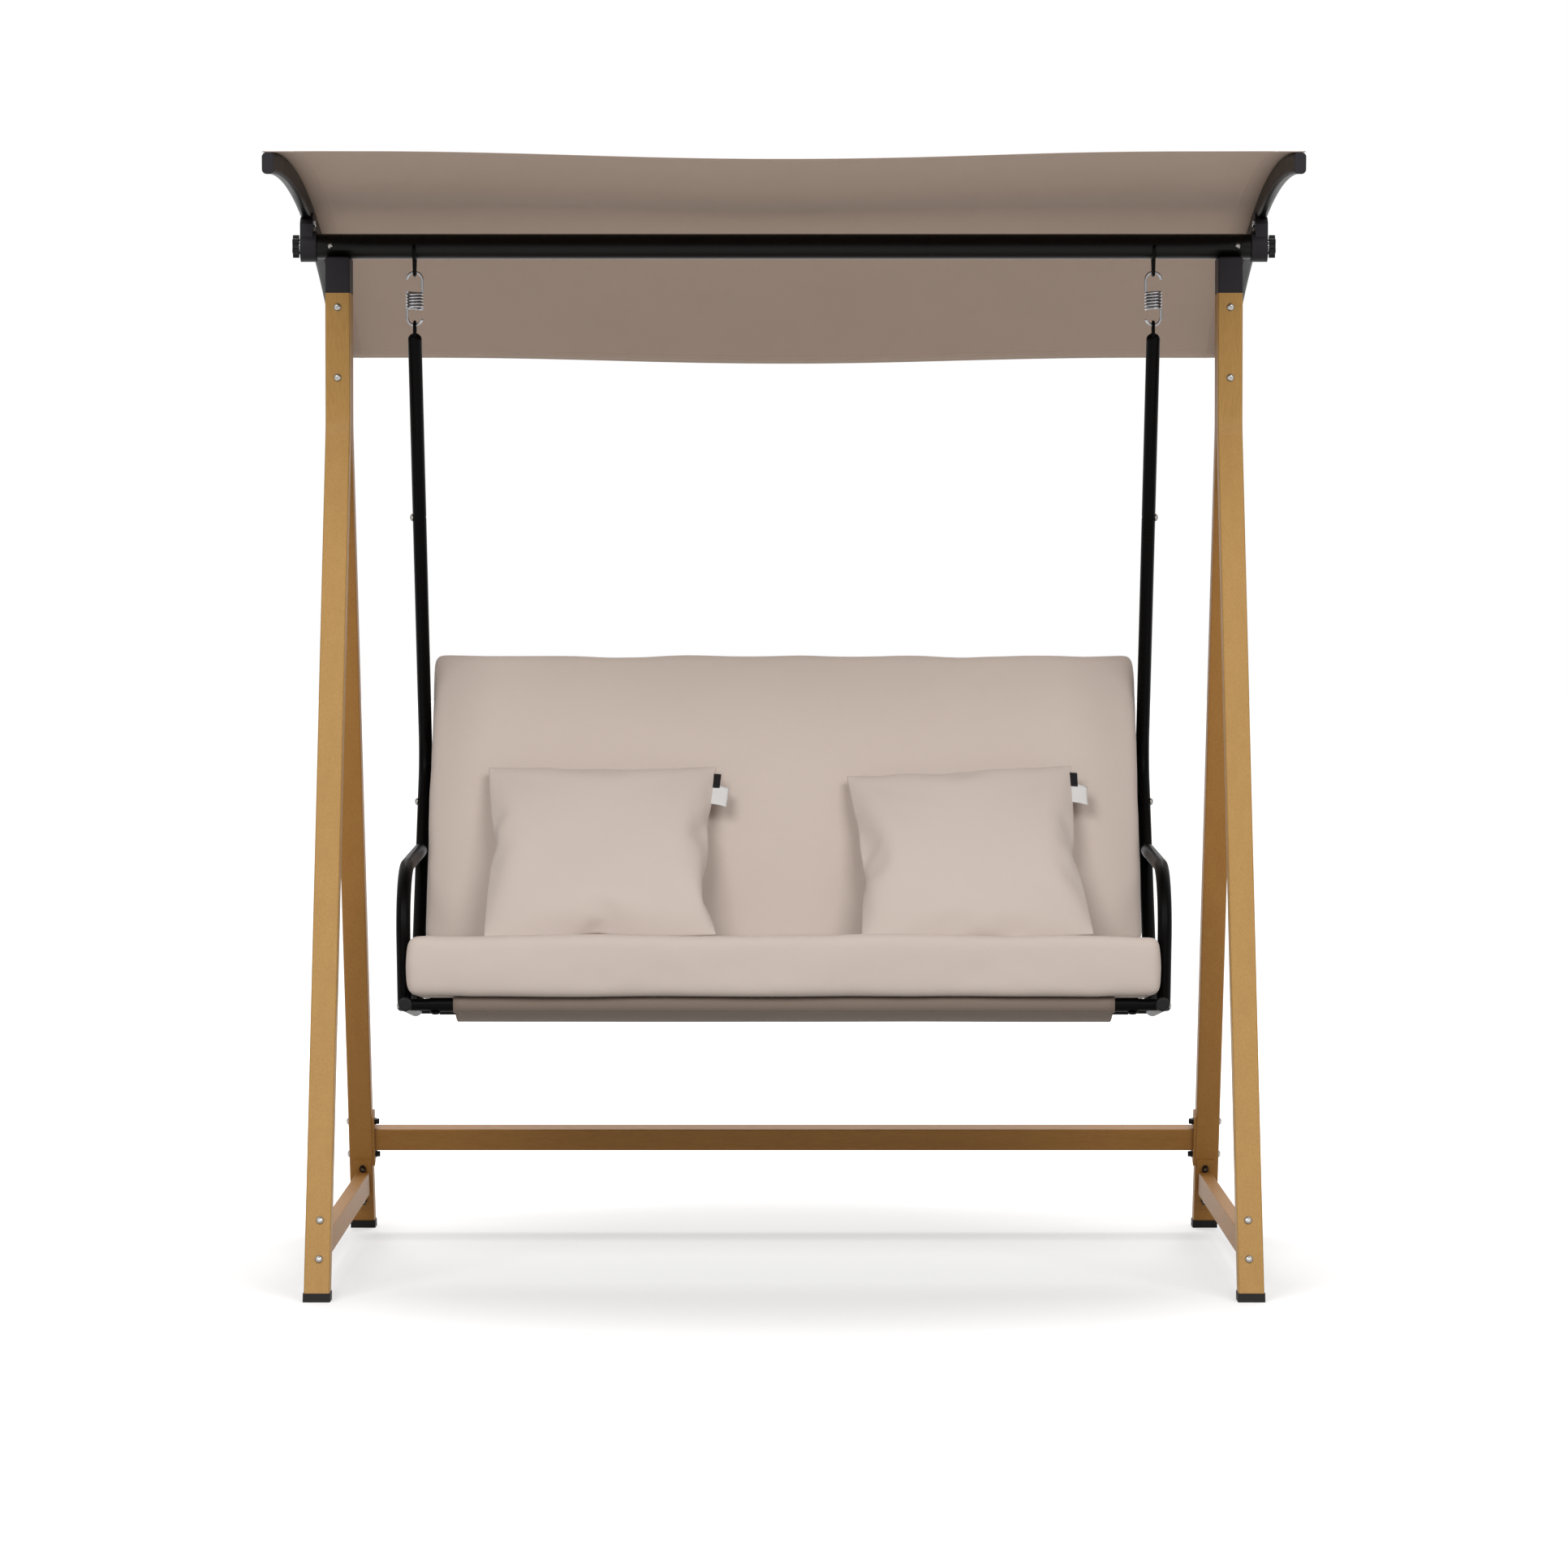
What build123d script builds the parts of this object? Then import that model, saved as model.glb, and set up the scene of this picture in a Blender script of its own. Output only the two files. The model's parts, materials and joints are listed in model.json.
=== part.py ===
"""Canopy swing bench: A-frame of wood-look square tube, sprung hanging seat, tilting canopy.

Millimetres, +Z up, +X to the bench's right as seen from the front, front towards -Y.
The origin is on the floor, under the middle of the whole bench.
"""
import os
from math import asin, atan2, cos, degrees, hypot, radians, sin, sqrt, tan

from build123d import *

os.makedirs("parts", exist_ok=True)

SIDES = (("left", -1), ("right", 1))

# ---- A-frame ------------------------------------------------------------------------------
leg_size = 45.0            # square tube
leg_wall = 1.5
leg_corner = 3.0
leg_x = 818.0              # centre plane of each A-frame
leg_top_z = 1786.0
leg_upright = 248.0        # upright part of a leg, above its kink
kink_radius = 120.0
foot_y = 593.5             # leg centre line at the floor, from the beam's plane
cap_height = 15.0
cap_proud = 1.5            # how far a foot cap stands outside its tube
cap_floor = 3.0            # plastic under the tube's end
slip = 0.3                 # clearance of parts that are slid or set into each other

# ---- top beam and its brackets ------------------------------------------------------------
beam_d = 46.0
beam_wall = 2.0
beam_rise = 87.0           # beam's axis above the leg tops
beam_end_x = 858.0
bracket_wall = 3.0
bracket_top_plate = 7.0
saddle_sink = 2.0          # depth of the groove that the beam lies in
spigot_length = 52.0
saddle_grip = 12.0         # depth of a saddle bolt inside the beam and its plug
saddle_bolt_x = 12.0       # each side of the leg's middle
bracket_edge = 4.0

# ---- canopy -------------------------------------------------------------------------------
rail_radius = 3788.0       # to the underside of a side rail
crest_y = -562.0           # where the rails run level, from the beam's plane
crest_rise = 90.5          # underside of the rails at the crest, above the beam's axis
front_reach = 838.0        # canopy ends, from the beam's plane
rear_reach = 926.0
rail_width = 20.0
rail_height = 36.5
rail_wall = 1.5
rail_corner = 8.0
rail_outer_x = 888.0
end_cap_length = 12.0
end_cap_flange = 3.0
end_cap_proud = 0.2
fabric_thickness = 1.6
fabric_sag = 13.0
fabric_inset = 1.0         # side hem, from the rail's outer face

# ---- canopy hubs, their plugs and the star knobs -------------------------------------------
hub_inner_x = 858.4
hub_radius = 28.4
arm_inner_x = 865.0
arm_width = 46.0           # front to back
arm_front_rise = 40.5      # front edge of a hub's arm, above the beam's axis
arm_lap = 4.4              # arm above the underside of its rail
plug_length = 60.0         # inside the beam
journal_d = 40.0
journal_play = 0.1
hub_cover = 5.5            # closed outer wall of a hub
cheek_radius = 9.0         # lug beside the rail
hub_bolt_d = 6.0
hub_bolt_flats = 12.0
hub_bolt_drop = 6.0        # below the rail's underside, through the lug welded under the rail
lug_thickness = 3.6
lug_width = 20.0
lug_edge = 7.5             # lug below its bolt
lug_weld = 0.8             # how far the lug goes into the rail's wall
knob_d = 42.0
knob_thickness = 11.5
knob_inner_x = 891.2
knob_lobes = 6
knob_scallop = 8.0
knob_screw_d = 8.0
washer_d = 20.0
plug_screw_x = 832.5

# ---- hanging gear --------------------------------------------------------------------------
hanger_x = 679.1
ring_wire = 6.0
ring_drop = 53.0           # beam axis to the ring's lowest wire centre
ring_tip_radius = 11.0
ring_half = 29.4           # half width where its ends turn into the beam
ring_bend = 5.0
ring_reach = 2.0           # ends inside the beam's wall
spring_wire = 5.0
spring_radius = 13.9       # to the wire's centre
spring_turns = 5.5
spring_pitch = 5.6
coil_drop = 114.6          # beam's axis to the wire centre of the lowest turn
lower_hook_drop = 130.4    # beam's axis to the lower hook
lower_hook_end = 20.0      # degrees short of level at the open tip
eye_radius = 8.0
eye_depth = 8.0            # eye legs inside the hanger's plug
eye_plug = 24.0
eye_dome = 14.0
plug_dome = 5.0
play = 0.3                 # between hooks, rings and eyes

# ---- seat frame ----------------------------------------------------------------------------
tube_d = 25.4
tube_wall = 1.5
hanger_drop = 173.0                # beam's axis to the hangers' upper ends
hanger_top_y = 1.5
knee = (318.4, 922.6)              # (y, z) points on the side frames' centre line
seat_corner = (16.1, 465.0)
seat_front = (-323.0, 500.5)
front_tube = (-310.0, 499.0)
rear_tube = (4.0, 470.0)
knee_radius = 90.0
corner_radius = 70.0
upper_seam_z = 1352.0
lower_seam_z = 990.0
neck_length = 60.0
hanger_bolt_z = 1376.0
post_bolt_z = 841.0
cross_tube_x = 636.0       # ends of the tubes between the side frames
stub_reach = 36.0          # stub inside such a tube
back_tube_d = 22.0
back_x = 634.0
back_top = 742.0           # back frame, measured up the posts from the seat's corner
back_low = 92.0
back_corner = 60.0
back_stub_r = 9.2          # stubs that carry the back frame's low tube

# ---- armrests ------------------------------------------------------------------------------
arm_d = 26.0
arm_x = 691.0
arm_wall = 1.5
arm_rear_x = 683.0         # the upper ends lie nearer the middle than the fronts
arm_rear = (191.5, 752.0)          # (y, z) points on an armrest's centre line
arm_front = (-218.0, 734.0)
arm_foot = (-218.0, 481.0)
arm_foot_x = 687.0
arm_bend = 130.0
arm_insert = 26.0          # solid end piece that takes the rear bolt
foot_insert = 58.0         # solid lower end, coped over the seat's side tube
foot_round = 6.0
foot_seat_x = 696.5        # flat under the lower bolt's head

# ---- fabric seats, cushions and pillows ------------------------------------------------------
sling_x = 593.6
sling_thickness = 2.2
seat_sag_y = -138.0        # lowest place of the seat's underside
seat_sag_z = 461.0
seat_cushion_x = 673.0
seat_cushion_front = -345.0
seat_cushion_thickness = 106.0
seat_front_top = 626.0     # height of the seat cushion's top plane at its front
cushion_corner = 30.0
back_sling_x = 560.0
pillow_lean = 45.0         # degrees from upright
pillow_centre = (0.5, 759.7)
back_cushion_x = 661.0
back_cushion_thickness = 88.0
back_cushion_top = 723.0   # up the posts from the seat's corner
back_gap = 14.0            # back cushion's rear face, in front of the posts' centre line
pillow_size = 430.0
pillow_thickness = 112.0
pillow_x = (-337.0, 340.0)

# ---- stretchers ------------------------------------------------------------------------------
bar_long = 45.0
bar_short = 25.0
bar_wall = 1.5
bar_corner = 2.5
rear_bar_z = 180.0
side_bar_z = 90.0
side_bar_x = 815.0
plate_thickness = 4.0
plate_length = 104.0
plate_width = 40.0
plate_bolt_pitch = 70.0

# ---- bolts ---------------------------------------------------------------------------------
bolt_d = 8.0
bolt_clear = 0.4
head_d = 14.0
head_height = 5.0
nut_d = 13.0
nut_height = 6.5
screw_d = 6.0
screw_head_d = 10.5
tube_screw_head = 18.0
tube_screw_x = 626.0

# ---- derived places ------------------------------------------------------------------------
beam_y = (front_reach - rear_reach) / 2
beam_r = beam_d / 2
beam_z = leg_top_z + beam_rise
kink_z = leg_top_z - leg_upright
tube_r = tube_d / 2
leg_offset = leg_size / 2
leg_lean = atan2(foot_y - leg_offset, kink_z)
side_joint_z = side_bar_z + leg_offset * sin(leg_lean)     # on the leg's centre line
hook_z = beam_z - ring_drop + ring_wire / 2 + play + spring_wire / 2
upper_hook_z = hook_z - spring_radius
lower_hook_z = beam_z - lower_hook_drop
coil_bottom_z = beam_z - coil_drop
coil_top_z = coil_bottom_z + spring_turns * spring_pitch
eye_z = lower_hook_z - spring_radius + spring_wire / 2 + play + ring_wire / 2 - eye_radius
hanger_top = (hanger_top_y, beam_z - hanger_drop)
back_lean = atan2(knee[0] - seat_corner[0], knee[1] - seat_corner[1])
hanger_lean = atan2(knee[0] - hanger_top[0], hanger_top[1] - knee[1])
seat_slope = (seat_front[1] - seat_corner[1]) / (seat_corner[0] - seat_front[0])
rail_centre_z = beam_z + crest_rise - rail_radius
rail_mid_radius = rail_radius + rail_height / 2
rail_outer_radius = rail_radius + rail_height
canopy_edge_radius = rail_outer_radius + play + fabric_thickness
front_angle = degrees(asin((front_reach + crest_y) / canopy_edge_radius))
rear_angle = degrees(asin((rear_reach - crest_y) / canopy_edge_radius))
rail_axis = Axis((0, beam_y + crest_y, rail_centre_z), (-1, 0, 0))
rail_x = rail_outer_x - rail_width / 2
arm_front_z = beam_z + arm_front_rise


def side_plane(x):
    """Upright plane across the bench at x: local axes +Y and +Z, with y = 0 under the beam."""
    return Plane(origin=(x, beam_y, 0), x_dir=(0, 1, 0), z_dir=(1, 0, 0))


def at(x, y, z):
    """A point given by y from the beam's plane."""
    return Vector(x, beam_y + y, z)


def leg_y(z):
    """Distance of a splayed leg's centre line from the beam's plane at height z."""
    return foot_y - z * tan(leg_lean)


def hanger_y(z):
    return hanger_top[0] + (hanger_top[1] - z) * tan(hanger_lean)


def up_back(s, n=0.0):
    """(y, z) of a point s up the posts from the seat's corner and n in front of them."""
    return (
        seat_corner[0] + s * sin(back_lean) - n * cos(back_lean),
        seat_corner[1] + s * cos(back_lean) + n * sin(back_lean),
    )


def start_plane(wire, x_dir=(1, 0, 0)):
    """Plane square to the start of a path."""
    return Plane(origin=wire @ 0, x_dir=x_dir, z_dir=wire % 0)


def save(builder, name):
    builder.part.label = name
    export_step(builder.part, f"parts/{name}.step")


def bolt_holes(places, direction, depth=140.0):
    """Clearance holes through the part under construction; direction is x, y or a lean in degrees."""
    turn = {"x": (0, 90, 0), "y": (90, 0, 0)}.get(direction, (direction, 0, 0))
    for place in places:
        with Locations(Location(place, turn)):
            Cylinder((bolt_d + bolt_clear) / 2, depth, mode=Mode.SUBTRACT)


def leg_frame(sy, z, x):
    """Location on a splayed leg's centre line, its local z pointing out of the leg's outer face."""
    return Location(at(x, sy * leg_y(z), z), (-sy * (90 - degrees(leg_lean)), 0, 0))


def make_bolt(length, shank=bolt_d, head=head_d, height=head_height):
    """Domed bolt along z: the underside of its head at z = 0, its shank below."""
    with BuildPart() as bolt:
        with BuildSketch(Plane.XZ):
            with BuildLine():
                Polyline((0, -length), (shank / 2, -length), (shank / 2, 0), (head / 2, 0), (head / 2, 1.2))
                ThreePointArc((head / 2, 1.2), (head * 0.38, height * 0.76), (shank * 0.3, height))
                Polyline((shank * 0.3, height), (shank * 0.3, height / 2), (0, height / 2), (0, -length))
            make_face()
        revolve(axis=Axis.Z)
    return bolt.part


def make_nut():
    """Capped hexagon nut: its seat at z = 0, the cap below it."""
    with BuildPart() as nut:
        with BuildSketch(Plane.XY):
            RegularPolygon(nut_d / 2, 6)
            Circle(bolt_d / 2 + 0.02, mode=Mode.SUBTRACT)
        extrude(amount=-nut_height * 0.6)
        with BuildSketch(Plane.XY.offset(-nut_height * 0.6)):
            Circle(nut_d * 0.42)
            Circle(bolt_d / 2 + 0.02, mode=Mode.SUBTRACT)
        extrude(amount=-nut_height * 0.8)
    return nut.part


# ============================================================ A-frame legs and their foot caps
through_bolts = (leg_top_z - 26, leg_top_z - 155)      # the two bolts through both leg tops
plate_pitches = (plate_bolt_pitch / 2, -plate_bolt_pitch / 2)


def bar_bolt_z(z, pitch):
    """Height on a leg of a bolt that lies pitch up the leg from height z."""
    return z + pitch * cos(leg_lean)


for side, sx in SIDES:
    for end, sy in (("front", -1), ("rear", 1)):
        with BuildPart() as leg:
            with BuildLine(side_plane(sx * leg_x)) as centre_line:
                FilletPolyline((sy * leg_offset, leg_top_z), (sy * leg_offset, kink_z),
                               (sy * leg_y(-leg_size), -leg_size), radius=kink_radius)
            with BuildSketch(start_plane(centre_line.line)):
                RectangleRounded(leg_size, leg_size, leg_corner)
                RectangleRounded(leg_size - 2 * leg_wall, leg_size - 2 * leg_wall,
                                 leg_corner - leg_wall, mode=Mode.SUBTRACT)
            sweep(path=centre_line.line)
            split(bisect_by=Plane.XY.offset(cap_floor + 0.1))
            bolt_holes([at(sx * leg_x, 0, z) for z in through_bolts], "y")
            for pitch in plate_pitches:
                with Locations(leg_frame(sy, bar_bolt_z(side_joint_z, pitch), sx * side_bar_x)):
                    Cylinder((bolt_d + bolt_clear) / 2, 2 * leg_size, mode=Mode.SUBTRACT)
                if sy > 0:
                    z = bar_bolt_z(rear_bar_z, pitch)
                    bolt_holes([at(sx * leg_x, leg_y(z), z)], "x")
        save(leg, f"{end}_leg_{side}")

        half = leg_size / 2 / cos(leg_lean)        # half a leg's level section, front to back
        proud = half + cap_proud / cos(leg_lean)
        with BuildPart() as cap:
            with BuildSketch(side_plane(sx * leg_x)):
                Polygon((sy * (leg_y(0) - proud), 0), (sy * (leg_y(0) + proud), 0),
                        (sy * (leg_y(cap_height) + proud), cap_height),
                        (sy * (leg_y(cap_height) - proud), cap_height), align=None)
            extrude(amount=leg_size / 2 + cap_proud, both=True)
            fillet(cap.edges().filter_by(lambda e: abs((e % 0).X) < 0.1 and abs((e % 0).Z) > 0.5), 2.5)
            inner = half + slip / 2
            with BuildSketch(side_plane(sx * leg_x)):
                Polygon((sy * (leg_y(cap_floor) - inner), cap_floor), (sy * (leg_y(cap_floor) + inner), cap_floor),
                        (sy * (leg_y(cap_height + 1) + inner), cap_height + 1),
                        (sy * (leg_y(cap_height + 1) - inner), cap_height + 1), align=None)
            extrude(amount=leg_size / 2 + slip / 2, both=True, mode=Mode.SUBTRACT)
        save(cap, f"{end}_foot_cap_{side}")

# ============================================================ top brackets, beam and beam plugs
bracket_top_z = beam_z - beam_r + saddle_sink
for side, sx in SIDES:
    with BuildPart() as bracket:
        with BuildSketch(Plane(at(sx * leg_x, 0, leg_top_z))):
            RectangleRounded(leg_size, 2 * leg_size, leg_corner)
        extrude(amount=bracket_top_z - leg_top_z)
        fillet(bracket.faces().sort_by(Axis.Z)[-1].edges(), bracket_edge)
        with BuildSketch(Plane(at(sx * leg_x, 0, leg_top_z))):
            RectangleRounded(leg_size - 2 * bracket_wall, 2 * leg_size - 2 * bracket_wall, leg_corner)
        extrude(amount=bracket_top_z - leg_top_z - bracket_top_plate, mode=Mode.SUBTRACT)
        spigot = leg_size - 2 * leg_wall - 2 * slip
        for sy in (-1, 1):
            with BuildSketch(Plane(at(sx * leg_x, sy * leg_offset, leg_top_z - spigot_length))):
                RectangleRounded(spigot, spigot, leg_corner - slip)
                Rectangle(spigot - 2 * bracket_wall, spigot - 2 * bracket_wall, mode=Mode.SUBTRACT)
            extrude(amount=spigot_length + bracket_wall)
        with Locations(Location(at(sx * leg_x, 0, beam_z), (0, 90, 0))):
            Cylinder(beam_r, 2 * leg_size, mode=Mode.SUBTRACT)
        bolt_holes([at(sx * leg_x, 0, through_bolts[0])], "y")
        for dx in (-saddle_bolt_x, saddle_bolt_x):
            with Locations(at(sx * leg_x + dx, 0, bracket_top_z)):
                Cylinder((bolt_d + bolt_clear) / 2, 6 * saddle_sink + bracket_top_plate, mode=Mode.SUBTRACT)
    save(bracket, f"top_bracket_{side}")

with BuildPart() as top_beam:
    with BuildSketch(side_plane(-beam_end_x)):
        with Locations((0, beam_z)):
            Circle(beam_r)
            Circle(beam_r - beam_wall, mode=Mode.SUBTRACT)
    extrude(amount=2 * beam_end_x)
    for sx in (-1, 1):
        with Locations(Location(at(sx * plug_screw_x, -beam_r, beam_z), (90, 0, 0))):
            Cylinder((bolt_d + bolt_clear) / 2, 3 * beam_wall + beam_wall, mode=Mode.SUBTRACT)
        for dx in (-saddle_bolt_x, saddle_bolt_x):
            with Locations(at(sx * leg_x + dx, 0, beam_z - beam_r)):
                Cylinder((bolt_d + bolt_clear) / 2, 4 * beam_wall, mode=Mode.SUBTRACT)
        with Locations(Location(at(sx * hanger_x, 0, beam_z), (90, 0, 0))):
            Cylinder(ring_wire / 2 + play, 2 * beam_d, mode=Mode.SUBTRACT)
save(top_beam, "top_beam")

hub_outer_x = rail_outer_x
journal_end = hub_outer_x - hub_cover - play
for side, sx in SIDES:
    out = Plane(at(sx * (beam_end_x - plug_length), 0, beam_z), x_dir=(0, 1, 0), z_dir=(sx, 0, 0))
    with BuildPart() as plug:
        with BuildSketch(out):
            Circle(beam_r - beam_wall - slip)
        extrude(amount=plug_length)
        with BuildSketch(out.offset(plug_length)):
            Circle(journal_d / 2)
        extrude(amount=journal_end - beam_end_x)
        with BuildSketch(out):
            Circle(knob_screw_d / 2 + journal_play)
        extrude(amount=plug_length + journal_end, mode=Mode.SUBTRACT)
        with Locations(Location(at(sx * plug_screw_x, -beam_r / 2 - beam_wall, beam_z), (90, 0, 0))):
            Cylinder(bolt_d / 2 + journal_play, beam_r, mode=Mode.SUBTRACT)
        for dx in (-saddle_bolt_x, saddle_bolt_x):
            with Locations(at(sx * leg_x + dx, 0, beam_z - beam_r)):
                Cylinder(bolt_d / 2 + journal_play, 2 * saddle_grip, mode=Mode.SUBTRACT)
    save(plug, f"beam_plug_{side}")

# ============================================================ canopy: hubs, rails, caps, fabric
def canopy_plane(x, angle):
    """Plane across a rail, its origin on the canopy's axis of curvature and +Y pointing outwards.

    The angle is measured from the crest, rearwards.
    """
    a = radians(angle)
    return Plane(origin=at(x, crest_y, rail_centre_z), x_dir=(1, 0, 0), z_dir=(0, -cos(a), sin(a)))


canopy_arc = front_angle + rear_angle
flange_angle = degrees(end_cap_flange / rail_radius)

def rail_under_z(y):
    """Height of a rail's underside at y from the beam's plane."""
    return rail_centre_z + sqrt(rail_radius ** 2 - (y - crest_y) ** 2)


arm_top_z = rail_under_z(0) + arm_lap
hub_bolt_z = rail_under_z(0) - hub_bolt_drop

for side, sx in SIDES:
    with BuildPart() as hub:
        with BuildSketch(side_plane(sx * hub_inner_x)):
            with Locations((0, beam_z)):
                Circle(hub_radius)
        extrude(amount=sx * (hub_outer_x - hub_inner_x))
        with BuildSketch(side_plane(sx * arm_inner_x)):
            Polygon((-arm_width / 2, beam_z), (-arm_width / 2, arm_front_z), (-arm_width / 2 + 5, arm_front_z + 6),
                    (-arm_width / 2 + 14, arm_top_z), (arm_width / 2, arm_top_z), (arm_width / 2, beam_z),
                    align=None)
        extrude(amount=sx * (hub_outer_x - arm_inner_x))
        with BuildSketch(side_plane(sx * arm_inner_x)):
            with Locations((0, arm_top_z)):
                Circle(cheek_radius)
            with Locations((0, arm_top_z - cheek_radius)):
                Rectangle(2 * cheek_radius, 2 * cheek_radius)
        extrude(amount=sx * (rail_outer_x - rail_width - arm_inner_x))
        with BuildSketch(canopy_plane(sx * rail_x, 0)):
            with Locations((0, rail_mid_radius)):
                RectangleRounded(rail_width + 2 * play, rail_height + 2 * play, rail_corner + play)
            with Locations((sx * 2, rail_mid_radius + rail_height / 4)):
                Rectangle(rail_width + 4 + 2 * play, rail_height)
        revolve(axis=rail_axis, revolution_arc=rear_angle / 2, mode=Mode.SUBTRACT)
        with BuildSketch(side_plane(sx * rail_x)):
            with Locations((0, hub_bolt_z)):
                Rectangle(lug_width + 2 * play, 2 * (lug_edge + play))
        extrude(amount=lug_thickness / 2 + play, both=True, mode=Mode.SUBTRACT)
        with BuildSketch(side_plane(sx * hub_inner_x)):
            with Locations((0, beam_z)):
                Circle(journal_d / 2 + journal_play)
        extrude(amount=sx * (hub_outer_x - hub_cover - hub_inner_x), mode=Mode.SUBTRACT)
        with BuildSketch(side_plane(sx * hub_inner_x)):
            with Locations((0, beam_z)):
                Circle(knob_screw_d / 2 + slip)
            with Locations((0, hub_bolt_z)):
                Circle(hub_bolt_d / 2 + slip)
        extrude(amount=sx * 2 * (hub_outer_x - hub_inner_x), mode=Mode.SUBTRACT)
    save(hub, f"canopy_hub_{side}")

    with BuildPart() as rail:
        with BuildSketch(canopy_plane(sx * rail_x, flange_angle - front_angle)):
            with Locations((0, rail_mid_radius)):
                RectangleRounded(rail_width, rail_height, rail_corner)
                RectangleRounded(rail_width - 2 * rail_wall, rail_height - 2 * rail_wall,
                                 rail_corner - rail_wall, mode=Mode.SUBTRACT)
        revolve(axis=rail_axis, revolution_arc=canopy_arc - 2 * flange_angle)
        with BuildSketch(side_plane(sx * rail_x)):
            Polygon((-lug_width / 2, hub_bolt_z - lug_edge), (lug_width / 2, hub_bolt_z - lug_edge),
                    (lug_width / 2, rail_under_z(lug_width / 2) + lug_weld),
                    (-lug_width / 2, rail_under_z(-lug_width / 2) + lug_weld), align=None)
        extrude(amount=lug_thickness / 2, both=True)
        with Locations(Location(at(sx * rail_x, 0, hub_bolt_z), (0, 90, 0))):
            Cylinder(hub_bolt_d / 2 + slip, rail_width + 2 * rail_wall, mode=Mode.SUBTRACT)
    save(rail, f"canopy_rail_{side}")


def make_rail_cap(x, start, turn):
    """Plastic cap on a rail's end; turn is 1 at the front and -1 at the rear."""
    rail_end = canopy_plane(x, start + turn * flange_angle)
    with BuildPart() as rail_cap:
        with BuildSketch(rail_end) as outline:
            with Locations((0, rail_mid_radius)):
                RectangleRounded(rail_width + 2 * end_cap_proud, rail_height + 2 * end_cap_proud,
                                 rail_corner + end_cap_proud)
        extrude(outline.sketch, amount=turn * end_cap_flange)
        chamfer(rail_cap.faces().sort_by(Axis.Y)[0 if turn > 0 else -1].edges(), 1.2)
        with BuildSketch(rail_end) as outline:
            with Locations((0, rail_mid_radius)):
                RectangleRounded(rail_width - 2 * rail_wall - 2 * slip, rail_height - 2 * rail_wall - 2 * slip,
                                 rail_corner - rail_wall - slip)
        extrude(outline.sketch, amount=-turn * end_cap_length)
    return rail_cap.part


with BuildPart() as rail_caps:
    for side, sx in SIDES:
        add(make_rail_cap(sx * rail_x, -front_angle, 1))
        add(make_rail_cap(sx * rail_x, rear_angle, -1))
save(rail_caps, "rail_caps")

fabric_low = rail_outer_radius + play
fabric_high = canopy_edge_radius
fabric_edge_x = rail_outer_x - fabric_inset
LEVEL = ((1, 0), (1, 0))
with BuildPart() as canopy_fabric:
    with BuildSketch(canopy_plane(0, -front_angle)):
        with BuildLine():
            Line((-fabric_edge_x, fabric_low), (-rail_x, fabric_low))
            Spline((-rail_x, fabric_low), (0, fabric_low - fabric_sag), (rail_x, fabric_low), tangents=LEVEL)
            Polyline((rail_x, fabric_low), (fabric_edge_x, fabric_low),
                     (fabric_edge_x, fabric_high), (rail_x, fabric_high))
            Spline((-rail_x, fabric_high), (0, fabric_high - fabric_sag), (rail_x, fabric_high), tangents=LEVEL)
            Polyline((-rail_x, fabric_high), (-fabric_edge_x, fabric_high), (-fabric_edge_x, fabric_low))
        make_face()
    revolve(axis=rail_axis, revolution_arc=canopy_arc)
save(canopy_fabric, "canopy_fabric")


def make_hex_bolt(grip, shank, flats, height):
    """Hexagon-headed bolt along z, the underside of its head at z = 0."""
    with BuildPart() as bolt:
        with BuildSketch(Plane.XY):
            RegularPolygon(flats / 2, 6, major_radius=False)
        extrude(amount=height)
        chamfer(bolt.faces().sort_by(Axis.Z)[-1].edges(), 1)
        with BuildSketch(Plane.XY):
            Circle(shank / 2)
        extrude(amount=-grip)
    return bolt.part


with BuildPart() as hub_bolts:
    for side, sx in SIDES:
        with Locations(Location(at(sx * arm_inner_x, 0, hub_bolt_z), (0, -90 * sx, 0))):
            add(make_hex_bolt(rail_outer_x - 1 - arm_inner_x, hub_bolt_d, hub_bolt_flats, 4.5))
save(hub_bolts, "hub_bolts")

# ============================================================ star knobs and their studs
for side, sx in SIDES:
    face = Plane(at(sx * knob_inner_x, 0, beam_z), x_dir=(0, 1, 0), z_dir=(sx, 0, 0))
    with BuildPart() as knob:
        with BuildSketch(face) as star:
            Circle(knob_d / 2)
            with PolarLocations(knob_d / 2 + 3, knob_lobes):
                Circle(knob_scallop, mode=Mode.SUBTRACT)
            fillet(star.vertices(), 2)
        extrude(amount=knob_thickness)
        fillet(knob.faces().sort_by(Axis.X)[-1 if sx > 0 else 0].edges(), 1.5)
        with BuildSketch(face):
            Circle(knob_screw_d / 2 + journal_play)
        extrude(amount=knob_thickness - 3, mode=Mode.SUBTRACT)
    save(knob, f"knob_{side}")

    stud_face = face.offset(hub_outer_x + play - knob_inner_x)
    with BuildPart() as stud:
        with BuildSketch(stud_face):
            Circle(washer_d / 2)
        extrude(amount=knob_inner_x - hub_outer_x - play)
        with BuildSketch(face.offset(knob_thickness - 3.5)):
            Circle(knob_screw_d / 2)
        extrude(amount=-(knob_thickness - 3.5) - (knob_inner_x - beam_end_x) - plug_length / 2)
    save(stud, f"knob_stud_{side}")

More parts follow.
